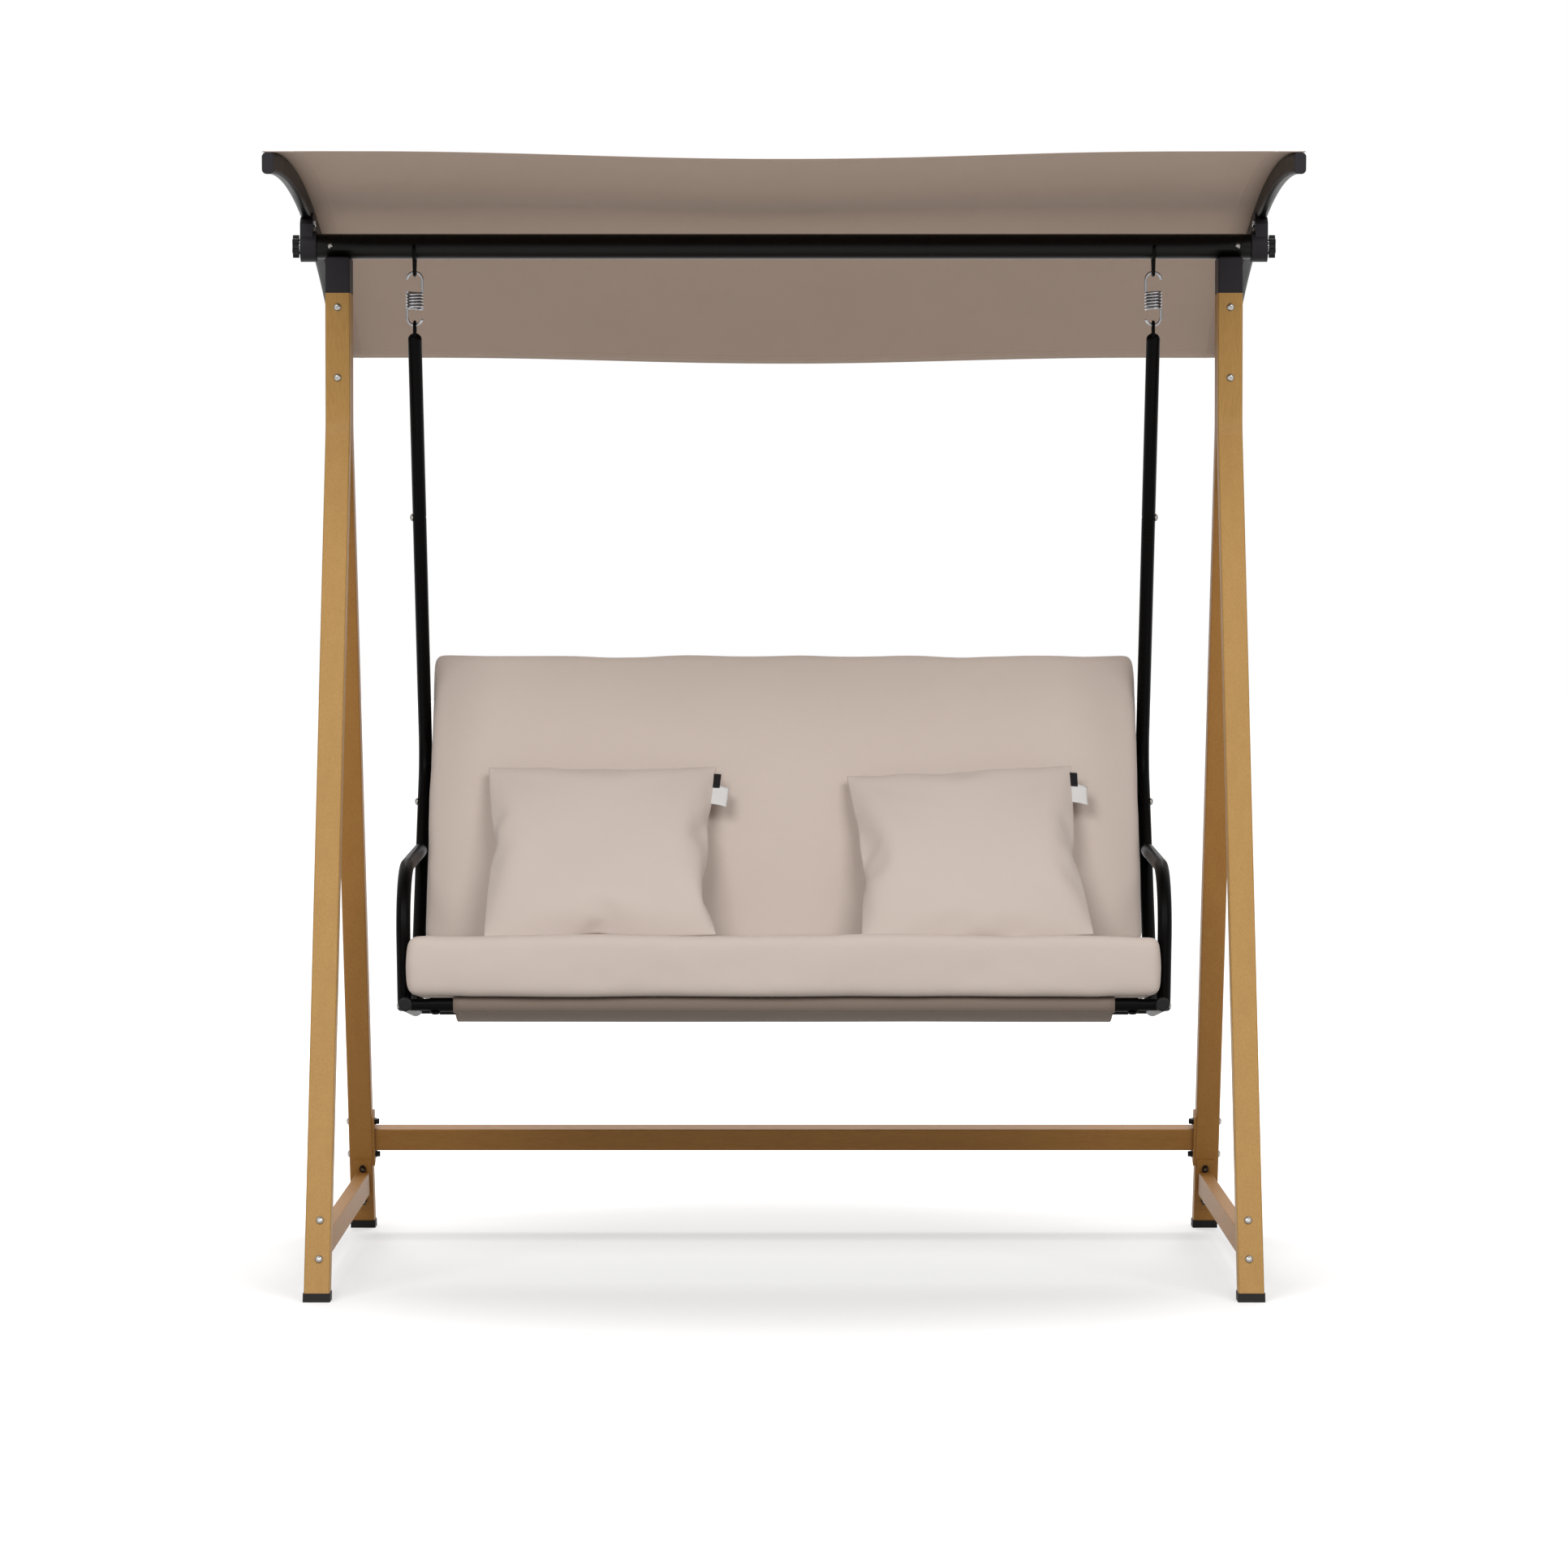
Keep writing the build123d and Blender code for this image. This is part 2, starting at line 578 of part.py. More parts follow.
# ============================================================ hanging gear
for side, sx in SIDES:
    with BuildPart() as ring:
        tip_z = beam_z - ring_drop + ring_tip_radius
        flank = atan2(ring_half, beam_z - tip_z) - asin(ring_tip_radius / hypot(ring_half, beam_z - tip_z))
        inside = beam_r - beam_wall - ring_reach
        with BuildLine(side_plane(sx * hanger_x)) as loop:
            FilletPolyline((-inside, beam_z), (-ring_half, beam_z), (0, tip_z - ring_tip_radius / sin(flank)),
                           (ring_half, beam_z), (inside, beam_z), radius=(ring_bend, ring_tip_radius, ring_bend))
        with BuildSketch(start_plane(loop.wires()[0])):
            Circle(ring_wire / 2)
        sweep(path=loop.wires()[0])
    save(ring, f"hanger_ring_{side}")


def make_spring():
    """Left spring about the world's Z axis, open sides of its hooks towards -X below, +X above."""
    hook_plane = Plane(origin=(0, 0, 0), x_dir=(-1, 0, 0), z_dir=(0, 1, 0))
    coil_plane = Plane(origin=(0, 0, coil_bottom_z), x_dir=(-1, 0, 0), z_dir=(0, 0, 1))
    with BuildPart() as spring:
        with BuildLine(coil_plane) as coil:
            Helix(spring_pitch, coil_top_z - coil_bottom_z, spring_radius)
        with BuildSketch(start_plane(coil.line)):
            Circle(spring_wire / 2)
        sweep(path=coil.line, is_frenet=True)
        with BuildLine(hook_plane) as upper_hook:
            Line((-spring_radius, coil_top_z), (-spring_radius, upper_hook_z))
            CenterArc((0, upper_hook_z), spring_radius, 180, -170)
        with BuildLine(hook_plane) as lower_hook:
            Line((spring_radius, coil_bottom_z), (spring_radius, lower_hook_z))
            CenterArc((0, lower_hook_z), spring_radius, 0, lower_hook_end - 180)
        for hook in (upper_hook.wires()[0], lower_hook.wires()[0]):
            with BuildSketch(start_plane(hook)):
                Circle(spring_wire / 2)
            sweep(path=hook)
            with Locations(hook @ 0, hook @ 1):
                Sphere(spring_wire / 2)
    return spring.part


for side, sx in SIDES:
    with BuildPart() as spring:
        with Locations(Location(at(sx * hanger_x, 0, 0), (0, 0, 90 + 90 * sx))):
            add(make_spring())
    save(spring, f"spring_{side}")

# ============================================================ hangers and side frames


def make_tube(plane, points, bend, outer, inner=0.0):
    """Round tube or bar along points of a plane, its corners bent."""
    with BuildPart() as tube:
        with BuildLine(plane) as path:
            if len(points) > 2:
                FilletPolyline(*points, radius=bend)
            else:
                Line(*points)
        with BuildSketch(start_plane(path.line)):
            Circle(outer)
            if inner:
                Circle(inner, mode=Mode.SUBTRACT)
        sweep(path=path.line)
    return tube.part


def on_hanger(z, along=0.0):
    """(y, z) of a point on a hanger's centre line, moved along it (upwards positive)."""
    return (hanger_y(z) - along * sin(hanger_lean), z + along * cos(hanger_lean))


tube_bore = tube_r - tube_wall
neck_r = tube_bore - slip
neck_bore = neck_r - tube_wall
stub_r = tube_bore - slip


def make_neck(plane, z):
    """Reduced end of a hanger tube that the next tube is pushed over, from its seam upwards."""
    with BuildPart() as neck:
        add(make_tube(plane, (on_hanger(z, -10), on_hanger(z)), 0, tube_r - tube_wall / 2, neck_bore))
        add(make_tube(plane, (on_hanger(z, -2), on_hanger(z, neck_length)), 0, neck_r, neck_bore))
    return neck.part


def cross_holes(x, places, radius):
    """Holes along X through the part under construction, centred on x, at (y, z) places."""
    for y, z in places:
        with Locations(Location(at(x, y, z), (0, 90, 0))):
            Cylinder(radius, 3 * tube_d, mode=Mode.SUBTRACT)


def tube_screw_seat(sx, centre, turn):
    """Where a screw's head sits on a cross tube; turned about X, 180 puts it under the tube."""
    face = at(sx * tube_screw_x, *centre) + Vector(0, -sin(radians(turn)), cos(radians(turn))) * tube_r
    return Location(face, (turn, 0, 0))


tube_screws = ((front_tube, 180), (rear_tube, -90))    # under the front tube, behind the rear one
clear_r = (bolt_d + bolt_clear) / 2
low_cross = up_back(back_low)
post_bolt = up_back((post_bolt_z - seat_corner[1]) / cos(back_lean))
arm_bolt = up_back((arm_rear[1] - seat_corner[1]) / cos(back_lean))
foot_bolt = (arm_foot[0], seat_front[1] - (arm_foot[0] - seat_front[0]) * seat_slope)

for side, sx in SIDES:
    plane = side_plane(sx * hanger_x)
    with BuildPart() as eye:
        top = on_hanger(hanger_top[1], eye_depth)
        with BuildLine(plane) as path:
            Line((-eye_radius, top[1] - eye_depth), (-eye_radius, eye_z))
            CenterArc((0, eye_z), eye_radius, 180, -180)
            Line((eye_radius, eye_z), (eye_radius, top[1] - eye_depth))
        with BuildSketch(start_plane(path.wires()[0])):
            Circle(ring_wire / 2)
        sweep(path=path.wires()[0])
        tube_top = Plane(at(sx * hanger_x, *hanger_top), x_dir=(1, 0, 0),
                         z_dir=(0, -sin(hanger_lean), cos(hanger_lean)))
        with BuildSketch(tube_top):
            Circle(tube_bore - slip)
        extrude(amount=-eye_plug)
        with BuildSketch(tube_top) as rim:
            Circle(tube_r)
        dome = extrude(rim.sketch, amount=eye_dome, mode=Mode.PRIVATE)
        add(dome.fillet(tube_r - 1, dome.edges().filter_by(GeomType.CIRCLE).sort_by(Axis.Z)[-1:]))
    save(eye, f"hanger_eye_{side}")

    with BuildPart() as upper:
        add(make_tube(plane, (hanger_top, on_hanger(upper_seam_z)), 0, tube_r, tube_bore))
        cross_holes(sx * hanger_x, [on_hanger(hanger_bolt_z)], clear_r)
    save(upper, f"hanger_upper_{side}")

    with BuildPart() as lower:
        add(make_tube(plane, (on_hanger(upper_seam_z - play), on_hanger(lower_seam_z)), 0, tube_r, tube_bore))
        add(make_neck(plane, upper_seam_z - play))
        cross_holes(sx * hanger_x, [on_hanger(hanger_bolt_z)], clear_r)
    save(lower, f"hanger_lower_{side}")

    with BuildPart() as frame:
        add(make_tube(plane, (on_hanger(lower_seam_z - play), knee, seat_corner, seat_front),
                      (knee_radius, corner_radius), tube_r, tube_bore))
        add(make_neck(plane, lower_seam_z - play))
        for (y, z), radius in ((front_tube, stub_r), (rear_tube, stub_r), (low_cross, back_stub_r)):
            with BuildSketch(side_plane(sx * hanger_x)):
                with Locations((y, z)):
                    Circle(radius)
            extrude(amount=-sx * (hanger_x - cross_tube_x + stub_reach))
        bore_end = (seat_front[0] + 2 * tube_d, seat_front[1] - 2 * tube_d * seat_slope)
        add(make_tube(plane, (seat_front, bore_end), 0, tube_bore - 0.05), mode=Mode.SUBTRACT)
        cross_holes(sx * hanger_x, [post_bolt, foot_bolt], clear_r)
        with Locations(Location(at(sx * hanger_x, *arm_bolt), (90 - degrees(back_lean), 0, 0))):
            Cylinder(clear_r, 3 * tube_d, mode=Mode.SUBTRACT)
        for centre, turn in tube_screws:
            with Locations(tube_screw_seat(sx, centre, turn)):
                Cylinder(screw_d / 2 + slip / 2, 3 * tube_d, mode=Mode.SUBTRACT)
    save(frame, f"side_frame_{side}")

tip = Plane(origin=(0, 0, 0), x_dir=(1, 0, 0),
            z_dir=(0, seat_front[0] - seat_corner[0], seat_front[1] - seat_corner[1]))
with BuildPart(mode=Mode.PRIVATE) as end_plug:
    with BuildSketch(tip):
        Circle(tube_r)
    extrude(amount=plug_dome)
    fillet(end_plug.faces().sort_by(Axis.Y)[0].edges(), plug_dome - 1)
    with BuildSketch(tip):
        Circle(tube_bore - slip)
    extrude(amount=-end_cap_length)
with BuildPart() as frame_end_plugs:
    with Locations(at(-hanger_x, *seat_front), at(hanger_x, *seat_front)):
        add(end_plug.part)
save(frame_end_plugs, "frame_end_plugs")

# ============================================================ seat cross tubes and back frame
for name, (centre, turn) in zip(("seat_front_tube", "seat_rear_tube"), tube_screws):
    with BuildPart() as cross:
        with BuildSketch(side_plane(-cross_tube_x)):
            with Locations(centre):
                Circle(tube_r)
                Circle(tube_bore, mode=Mode.SUBTRACT)
        extrude(amount=2 * cross_tube_x)
        for sx in (-1, 1):
            with Locations(tube_screw_seat(sx, centre, turn)):
                Cylinder(screw_d / 2 + slip / 2, tube_r, mode=Mode.SUBTRACT)
    save(cross, name)

back_plane = Plane(at(0, *seat_corner), x_dir=(1, 0, 0), z_dir=(0, -cos(back_lean), sin(back_lean)))
back_r = back_tube_d / 2
back_bore = back_r - tube_wall
with BuildPart() as back_frame:
    add(make_tube(back_plane, ((-back_x, back_low), (-back_x, back_top), (back_x, back_top), (back_x, back_low)),
                  back_corner, back_r, back_bore))
    with BuildSketch(side_plane(-back_x - back_r)):
        with Locations(low_cross):
            Circle(back_r)
    extrude(amount=2 * (back_x + back_r))
    with BuildSketch(side_plane(-back_x - back_r)):
        with Locations(low_cross):
            Circle(back_bore)
    extrude(amount=2 * (back_x + back_r), mode=Mode.SUBTRACT)
    for sx in (-1, 1):
        cross_holes(sx * back_x, [post_bolt], clear_r)
save(back_frame, "back_frame")

spacer_length = hanger_x - tube_r - back_x - back_r
with BuildPart() as spacers:
    for sx in (-1, 1):
        with Locations(Location(at(sx * (back_x + back_r + spacer_length / 2), *post_bolt), (0, 90, 0))):
            Cylinder(back_r, spacer_length + 3)
            Cylinder(clear_r, spacer_length + 4, mode=Mode.SUBTRACT)
        for x, radius in ((sx * hanger_x, tube_r + slip), (sx * back_x, back_r + slip)):
            with Locations(Location(at(x, *post_bolt), (-degrees(back_lean), 0, 0))):
                Cylinder(radius, 4 * tube_d, mode=Mode.SUBTRACT)
save(spacers, "back_spacers")

# ============================================================ armrests
for side, sx in SIDES:
    with BuildPart() as armrest:
        with BuildLine() as path:
            FilletPolyline(at(sx * arm_rear_x, *arm_rear), at(sx * arm_x, *arm_front), at(sx * arm_foot_x, *arm_foot),
                           radius=arm_bend)
        with BuildSketch(start_plane(path.line)):
            Circle(arm_d / 2)
            Circle(arm_d / 2 - arm_wall, mode=Mode.SUBTRACT)
        sweep(path=path.line)
        foot = Plane(path.line @ 1, x_dir=(0, 1, 0), z_dir=-(path.line % 1))
        with BuildSketch(foot):
            Circle(arm_d / 2 - arm_wall / 2)
        extrude(amount=foot_insert)
        fillet(armrest.faces().sort_by(Axis.Z)[0].outer_wire().edges(), foot_round)
        add(make_tube(side_plane(sx * hanger_x), (seat_corner, seat_front), 0, tube_r + slip), mode=Mode.SUBTRACT)
        with Locations(Location(at(sx * foot_seat_x, *foot_bolt), (0, 90 * sx, 0))):
            Cylinder(head_d / 2 + slip, 2 * head_height, align=(Align.CENTER, Align.CENTER, Align.MIN),
                     mode=Mode.SUBTRACT)
        with BuildSketch(start_plane(path.line)):
            Circle(arm_d / 2 - arm_wall / 2)
        extrude(amount=arm_insert)
        with Locations(Location(at(sx * hanger_x, *arm_bolt), (-degrees(back_lean), 0, 0))):
            Cylinder(tube_r + slip, 4 * tube_d, mode=Mode.SUBTRACT)
        with Locations(Location(at(sx * hanger_x, *arm_bolt), (90 - degrees(back_lean), 0, 0))):
            Cylinder(screw_d / 2 + slip / 2, 4 * tube_d, mode=Mode.SUBTRACT)
        cross_holes(sx * arm_foot_x, [foot_bolt], clear_r)
    save(armrest, f"armrest_{side}")

# ============================================================ slings
wrap = play + sling_thickness / 2
sag_low = (seat_sag_y, seat_sag_z)


def at_angle(centre, radius, angle):
    return (centre[0] + radius * cos(radians(angle)), centre[1] + radius * sin(radians(angle)))


def sag_curve(lift):
    """Spline over the sagging seat between its two tubes, raised by lift."""
    radius = tube_r + play + lift
    Spline(at_angle(front_tube, radius, 85), (sag_low[0], sag_low[1] + lift), at_angle(rear_tube, radius, 95),
           tangents=((1, -0.0875), (1, 0.0875)))


with BuildPart() as seat_sling:
    with BuildSketch(side_plane(-sling_x)):
        with BuildLine():
            CenterArc(front_tube, tube_r + wrap, 250, -165)
            sag_curve(sling_thickness / 2)
            CenterArc(rear_tube, tube_r + wrap, 95, -165)
        trace(line_width=sling_thickness)
    extrude(amount=2 * sling_x)
save(seat_sling, "seat_sling")

# local x points forwards out of the reclined back, local y up it
back_side = Plane(at(back_sling_x, *seat_corner), x_dir=(0, -cos(back_lean), sin(back_lean)), z_dir=(-1, 0, 0))
with BuildPart() as back_sling:
    with BuildSketch(back_side):
        with BuildLine():
            CenterArc((0, back_top), back_r + wrap, 215, -215)
            Line((back_r + wrap, back_top), (back_r + wrap, back_low))
            CenterArc((0, back_low), back_r + wrap, 0, -215)
        trace(line_width=sling_thickness)
    extrude(amount=2 * back_sling_x)
save(back_sling, "back_sling")

# ============================================================ cushions and pillows


def seat_top_z(y):
    return seat_front_top - (y - seat_cushion_front) * seat_slope


def on_seat(n, lift):
    """Distance up the posts at which a line n in front of them is lift above the seat cushion."""
    y0, z0 = up_back(0, n)
    return (seat_top_z(y0) + lift - z0) / (cos(back_lean) + seat_slope * sin(back_lean))


under = sling_thickness + 2 * play
front_low = seat_top_z(seat_cushion_front) - seat_cushion_thickness
touch = at_angle(front_tube, tube_r + play + under, 85)
rear_touch = at_angle(rear_tube, tube_r + play + under, 95)
rear_low = up_back(back_low / 4, back_gap)
rear_high = up_back(on_seat(back_gap, 0), back_gap)
with BuildPart() as seat_cushion:
    with BuildSketch(side_plane(-seat_cushion_x)):
        Polygon((seat_cushion_front, front_low), touch, rear_touch, rear_low, rear_high,
                (seat_cushion_front, seat_top_z(seat_cushion_front)), align=None)
    extrude(amount=2 * seat_cushion_x)
    fillet(seat_cushion.faces().sort_by(Axis.Y)[0].edges(), cushion_corner)
    with BuildSketch(side_plane(-sling_x)):
        with BuildLine():
            sag_curve(under)
            Line(rear_touch, touch)
        make_face()
    extrude(amount=2 * sling_x)
    for sx in (-1, 1):
        add(make_tube(side_plane(sx * hanger_x), (knee, seat_corner, seat_front), corner_radius,
                      tube_r + slip), mode=Mode.SUBTRACT)
save(seat_cushion, "seat_cushion")

back_front = back_gap + back_cushion_thickness
with BuildPart() as back_cushion:
    with BuildSketch(Plane(at(back_cushion_x, *seat_corner), x_dir=back_side.x_dir, z_dir=(-1, 0, 0))):
        Polygon((back_gap, on_seat(back_gap, play)), (back_front, on_seat(back_front, play)),
                (back_front, back_cushion_top), (back_gap, back_cushion_top), align=None)
    extrude(amount=2 * back_cushion_x)
    front_face = back_cushion.faces().sort_by(Axis((0, 0, 0), back_plane.z_dir))[-1]
    fillet(front_face.edges(), cushion_corner)
save(back_cushion, "back_cushion")

pillow_steps = ((0.0, 1.0, 0.09), (0.36, 0.93, 0.12), (0.68, 0.76, 0.2), (0.9, 0.5, 0.3), (1.0, 0.22, 0.4))
lean = radians(pillow_lean)
for (side, sx), x in zip(SIDES, pillow_x):
    middle = Plane(at(x, *pillow_centre), x_dir=(1, 0, 0), z_dir=(0, -cos(lean), sin(lean)))
    with BuildPart() as pillow:
        for turn in (1, -1):
            for rise, spread, corner in pillow_steps:
                with BuildSketch(middle.offset(turn * rise * pillow_thickness / 2)):
                    RectangleRounded(pillow_size * spread, pillow_size * spread,
                                     pillow_size * spread * corner)
            loft()
    save(pillow, f"pillow_{side}")

# ============================================================ stretchers
reach = leg_x - leg_size / 2
with BuildPart() as rear_stretcher:
    with BuildSketch(side_plane(-reach)):
        with Locations(Location((leg_y(rear_bar_z), rear_bar_z, 0), (0, 0, degrees(leg_lean)))):
            RectangleRounded(bar_short, bar_long, bar_corner)
            RectangleRounded(bar_short - 2 * bar_wall, bar_long - 2 * bar_wall, bar_corner - bar_wall,
                             mode=Mode.SUBTRACT)
    extrude(amount=2 * reach)
    for sx in (-1, 1):
        with BuildSketch(side_plane(sx * reach)):
            with Locations(Location((leg_y(rear_bar_z), rear_bar_z, 0), (0, 0, degrees(leg_lean)))):
                RectangleRounded(plate_width, plate_length, bar_corner)
        extrude(amount=-sx * plate_thickness)
    for pitch in plate_pitches:
        z = bar_bolt_z(rear_bar_z, pitch)
        bolt_holes([at(sx * (reach - plate_thickness / 2), leg_y(z), z) for sx in (-1, 1)], "x", 4 * plate_thickness)
save(rear_stretcher, "rear_stretcher")

for side, sx in SIDES:
    with BuildPart() as bar:
        bar_reach = leg_y(side_bar_z)
        with BuildSketch(Plane(at(sx * side_bar_x, -bar_reach, side_bar_z), x_dir=(1, 0, 0), z_dir=(0, 1, 0))):
            RectangleRounded(bar_short, bar_long, bar_corner)
            RectangleRounded(bar_short - 2 * bar_wall, bar_long - 2 * bar_wall, bar_corner - bar_wall,
                             mode=Mode.SUBTRACT)
        extrude(amount=2 * bar_reach)
        for sy in (-1, 1):
            place = leg_frame(sy, side_joint_z, sx * side_bar_x)
            with Locations(place * Location((0, 0, -leg_size / 2))):
                Box(4 * bar_short, 6 * bar_long, 3 * leg_size, align=(Align.CENTER, Align.CENTER, Align.MIN),
                    mode=Mode.SUBTRACT)
                Box(plate_width - 8, plate_length, plate_thickness, align=(Align.CENTER, Align.CENTER, Align.MAX))
        for sy in (-1, 1):
            for pitch in plate_pitches:
                place = leg_frame(sy, bar_bolt_z(side_joint_z, pitch), sx * side_bar_x)
                with Locations(place * Location((0, 0, -leg_size / 2))):
                    Cylinder(clear_r, 4 * plate_thickness, mode=Mode.SUBTRACT)
    save(bar, f"side_stretcher_{side}")

# ============================================================ bolts, nuts and screws
lean_deg = degrees(back_lean)
with BuildPart() as leg_bolts:
    for side, sx in SIDES:
        for z in through_bolts:
            with Locations(Location(at(sx * leg_x, -leg_size, z), (90, 0, 0))):
                add(make_bolt(2 * leg_size + nut_height))
save(leg_bolts, "leg_bolts")

with BuildPart() as saddle_bolts:
    for side, sx in SIDES:
        for dx in (-saddle_bolt_x, saddle_bolt_x):
            with Locations(Location(at(sx * leg_x + dx, 0, bracket_top_z - bracket_top_plate), (180, 0, 0))):
                add(make_bolt(bracket_top_plate - saddle_sink + saddle_grip - 1))
save(saddle_bolts, "saddle_bolts")

with BuildPart() as beam_screws:
    for side, sx in SIDES:
        with Locations(Location(at(sx * plug_screw_x, -beam_r, beam_z), (90, 0, 0))):
            add(make_bolt(beam_r - 8, head=screw_head_d))
save(beam_screws, "beam_screws")

with BuildPart() as stretcher_bolts:
    for side, sx in SIDES:
        for pitch in plate_pitches:
            z = bar_bolt_z(rear_bar_z, pitch)
            with Locations(Location(at(sx * (leg_x + leg_size / 2), leg_y(z), z), (0, 90 * sx, 0))):
                add(make_bolt(leg_size + plate_thickness + nut_height))
            for sy in (-1, 1):
                place = leg_frame(sy, bar_bolt_z(side_joint_z, pitch), sx * side_bar_x)
                with Locations(place * Location((0, 0, leg_size / 2))):
                    add(make_bolt(leg_size + plate_thickness + nut_height))
save(stretcher_bolts, "stretcher_bolts")

with BuildPart() as frame_nuts:
    for side, sx in SIDES:
        for z in through_bolts:
            with Locations(Location(at(sx * leg_x, leg_size, z), (90, 0, 0))):
                add(make_nut())
        for pitch in plate_pitches:
            z = bar_bolt_z(rear_bar_z, pitch)
            with Locations(Location(at(sx * (reach - plate_thickness), leg_y(z), z), (0, 90 * sx, 0))):
                add(make_nut())
            for sy in (-1, 1):
                place = leg_frame(sy, bar_bolt_z(side_joint_z, pitch), sx * side_bar_x)
                with Locations(place * Location((0, 0, -leg_size / 2 - plate_thickness))):
                    add(make_nut())
save(frame_nuts, "frame_nuts")

with BuildPart() as seat_bolts:
    for side, sx in SIDES:
        outer = sx * (hanger_x + tube_r)
        with Locations(Location(at(outer, *on_hanger(hanger_bolt_z)), (0, 90 * sx, 0))):
            add(make_bolt(tube_d - 1))
        with Locations(Location(at(outer, *post_bolt), (0, 90 * sx, 0))):
            add(make_bolt(tube_d + spacer_length + back_tube_d + nut_height))
        with Locations(Location(at(sx * foot_seat_x, *foot_bolt), (0, 90 * sx, 0))):
            add(make_bolt(foot_seat_x - hanger_x + tube_r + nut_height))
save(seat_bolts, "seat_bolts")

with BuildPart() as seat_nuts:
    for side, sx in SIDES:
        with Locations(Location(at(sx * (back_x - back_r), *post_bolt), (0, 90 * sx, 0))):
            add(make_nut())
        with Locations(Location(at(sx * (hanger_x - tube_r), *foot_bolt), (0, 90 * sx, 0))):
            add(make_nut())
save(seat_nuts, "seat_nuts")

arm_rise = (arm_rear[1] - seat_corner[1]) / cos(back_lean)
with BuildPart() as seat_screws:
    for side, sx in SIDES:
        with Locations(Location(at(sx * hanger_x, *up_back(arm_rise, -tube_r)), (-90 - lean_deg, 0, 0))):
            add(make_bolt(tube_d + 12, screw_d, screw_head_d, 4))
        for centre, turn in tube_screws:
            with Locations(tube_screw_seat(sx, centre, turn)):
                add(make_bolt(tube_r, screw_d, tube_screw_head, 5))
save(seat_screws, "seat_screws")
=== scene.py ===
"""Looks of the canopy swing bench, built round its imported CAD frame. Metres, +Z up, front towards -Y."""

import json
import math

import bmesh
import bpy
from mathutils import Matrix, Vector, noise


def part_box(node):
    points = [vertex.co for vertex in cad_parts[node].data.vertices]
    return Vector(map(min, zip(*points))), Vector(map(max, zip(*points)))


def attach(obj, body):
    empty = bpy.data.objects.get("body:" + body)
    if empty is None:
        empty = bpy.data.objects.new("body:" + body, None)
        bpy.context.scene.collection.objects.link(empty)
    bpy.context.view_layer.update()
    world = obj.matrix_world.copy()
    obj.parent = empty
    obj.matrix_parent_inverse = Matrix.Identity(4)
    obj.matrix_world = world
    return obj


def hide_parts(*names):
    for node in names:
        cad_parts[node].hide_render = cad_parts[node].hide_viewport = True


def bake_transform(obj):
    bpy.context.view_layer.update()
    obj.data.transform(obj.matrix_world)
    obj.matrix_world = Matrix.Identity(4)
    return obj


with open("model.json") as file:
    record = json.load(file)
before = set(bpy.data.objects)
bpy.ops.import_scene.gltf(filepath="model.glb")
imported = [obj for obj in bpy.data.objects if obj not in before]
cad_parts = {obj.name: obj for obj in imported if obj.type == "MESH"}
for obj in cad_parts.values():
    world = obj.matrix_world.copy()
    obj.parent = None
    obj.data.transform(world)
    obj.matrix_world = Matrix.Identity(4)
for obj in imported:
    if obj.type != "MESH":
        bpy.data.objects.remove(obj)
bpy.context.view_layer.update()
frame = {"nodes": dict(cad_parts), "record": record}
NODES = frame["nodes"]
SLOTS = {part["node"]: part["material_slot"] for part in frame["record"]["subparts"]}
CORNERS = ((0, 0), (1, 0), (1, 1), (0, 1))      # steps to a cell's corners, in the order of its face


# ---------------------------------------------------------------- small helpers
def srgb(r, g, b):
    """A colour given as it looks on screen, 0 to 255, as linear light."""
    def linear(c):
        return c / 255 / 12.92 if c < 10 else ((c / 255 + 0.055) / 1.055) ** 2.4
    return (linear(r), linear(g), linear(b), 1.0)


def middle(node):
    low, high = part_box(node)
    return (low + high) / 2


def smoothstep(t):
    t = min(1.0, max(0.0, t))
    return t * t * (3 - 2 * t)


def mesh_object(name, maker):
    """A mesh object whose faces maker(bm) makes."""
    mesh = bpy.data.meshes.new(name)
    bm = bmesh.new()
    maker(bm)
    bm.to_mesh(mesh)
    bm.free()
    obj = bpy.data.objects.new(name, mesh)
    bpy.context.collection.objects.link(obj)
    return obj


def add_piece(name, maker, body, node, material):
    """A smooth piece made by maker(bm), riding on a body, and in place of a CAD node if one is named."""
    def outward(bm):
        maker(bm)
        bmesh.ops.recalc_face_normals(bm, faces=bm.faces)

    obj = mesh_object(name, outward)
    for polygon in obj.data.polygons:
        polygon.use_smooth = True
    obj.data.materials.append(material)
    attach(obj, body)
    if node:
        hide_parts(node)
    return obj


def subdivide(obj):
    modifier = obj.modifiers.new("smooth", "SUBSURF")
    modifier.levels = modifier.render_levels = 1


def thicken(obj, thickness):
    modifier = obj.modifiers.new("cloth thickness", "SOLIDIFY")
    modifier.thickness = thickness
    modifier.offset = 0.0
    return modifier


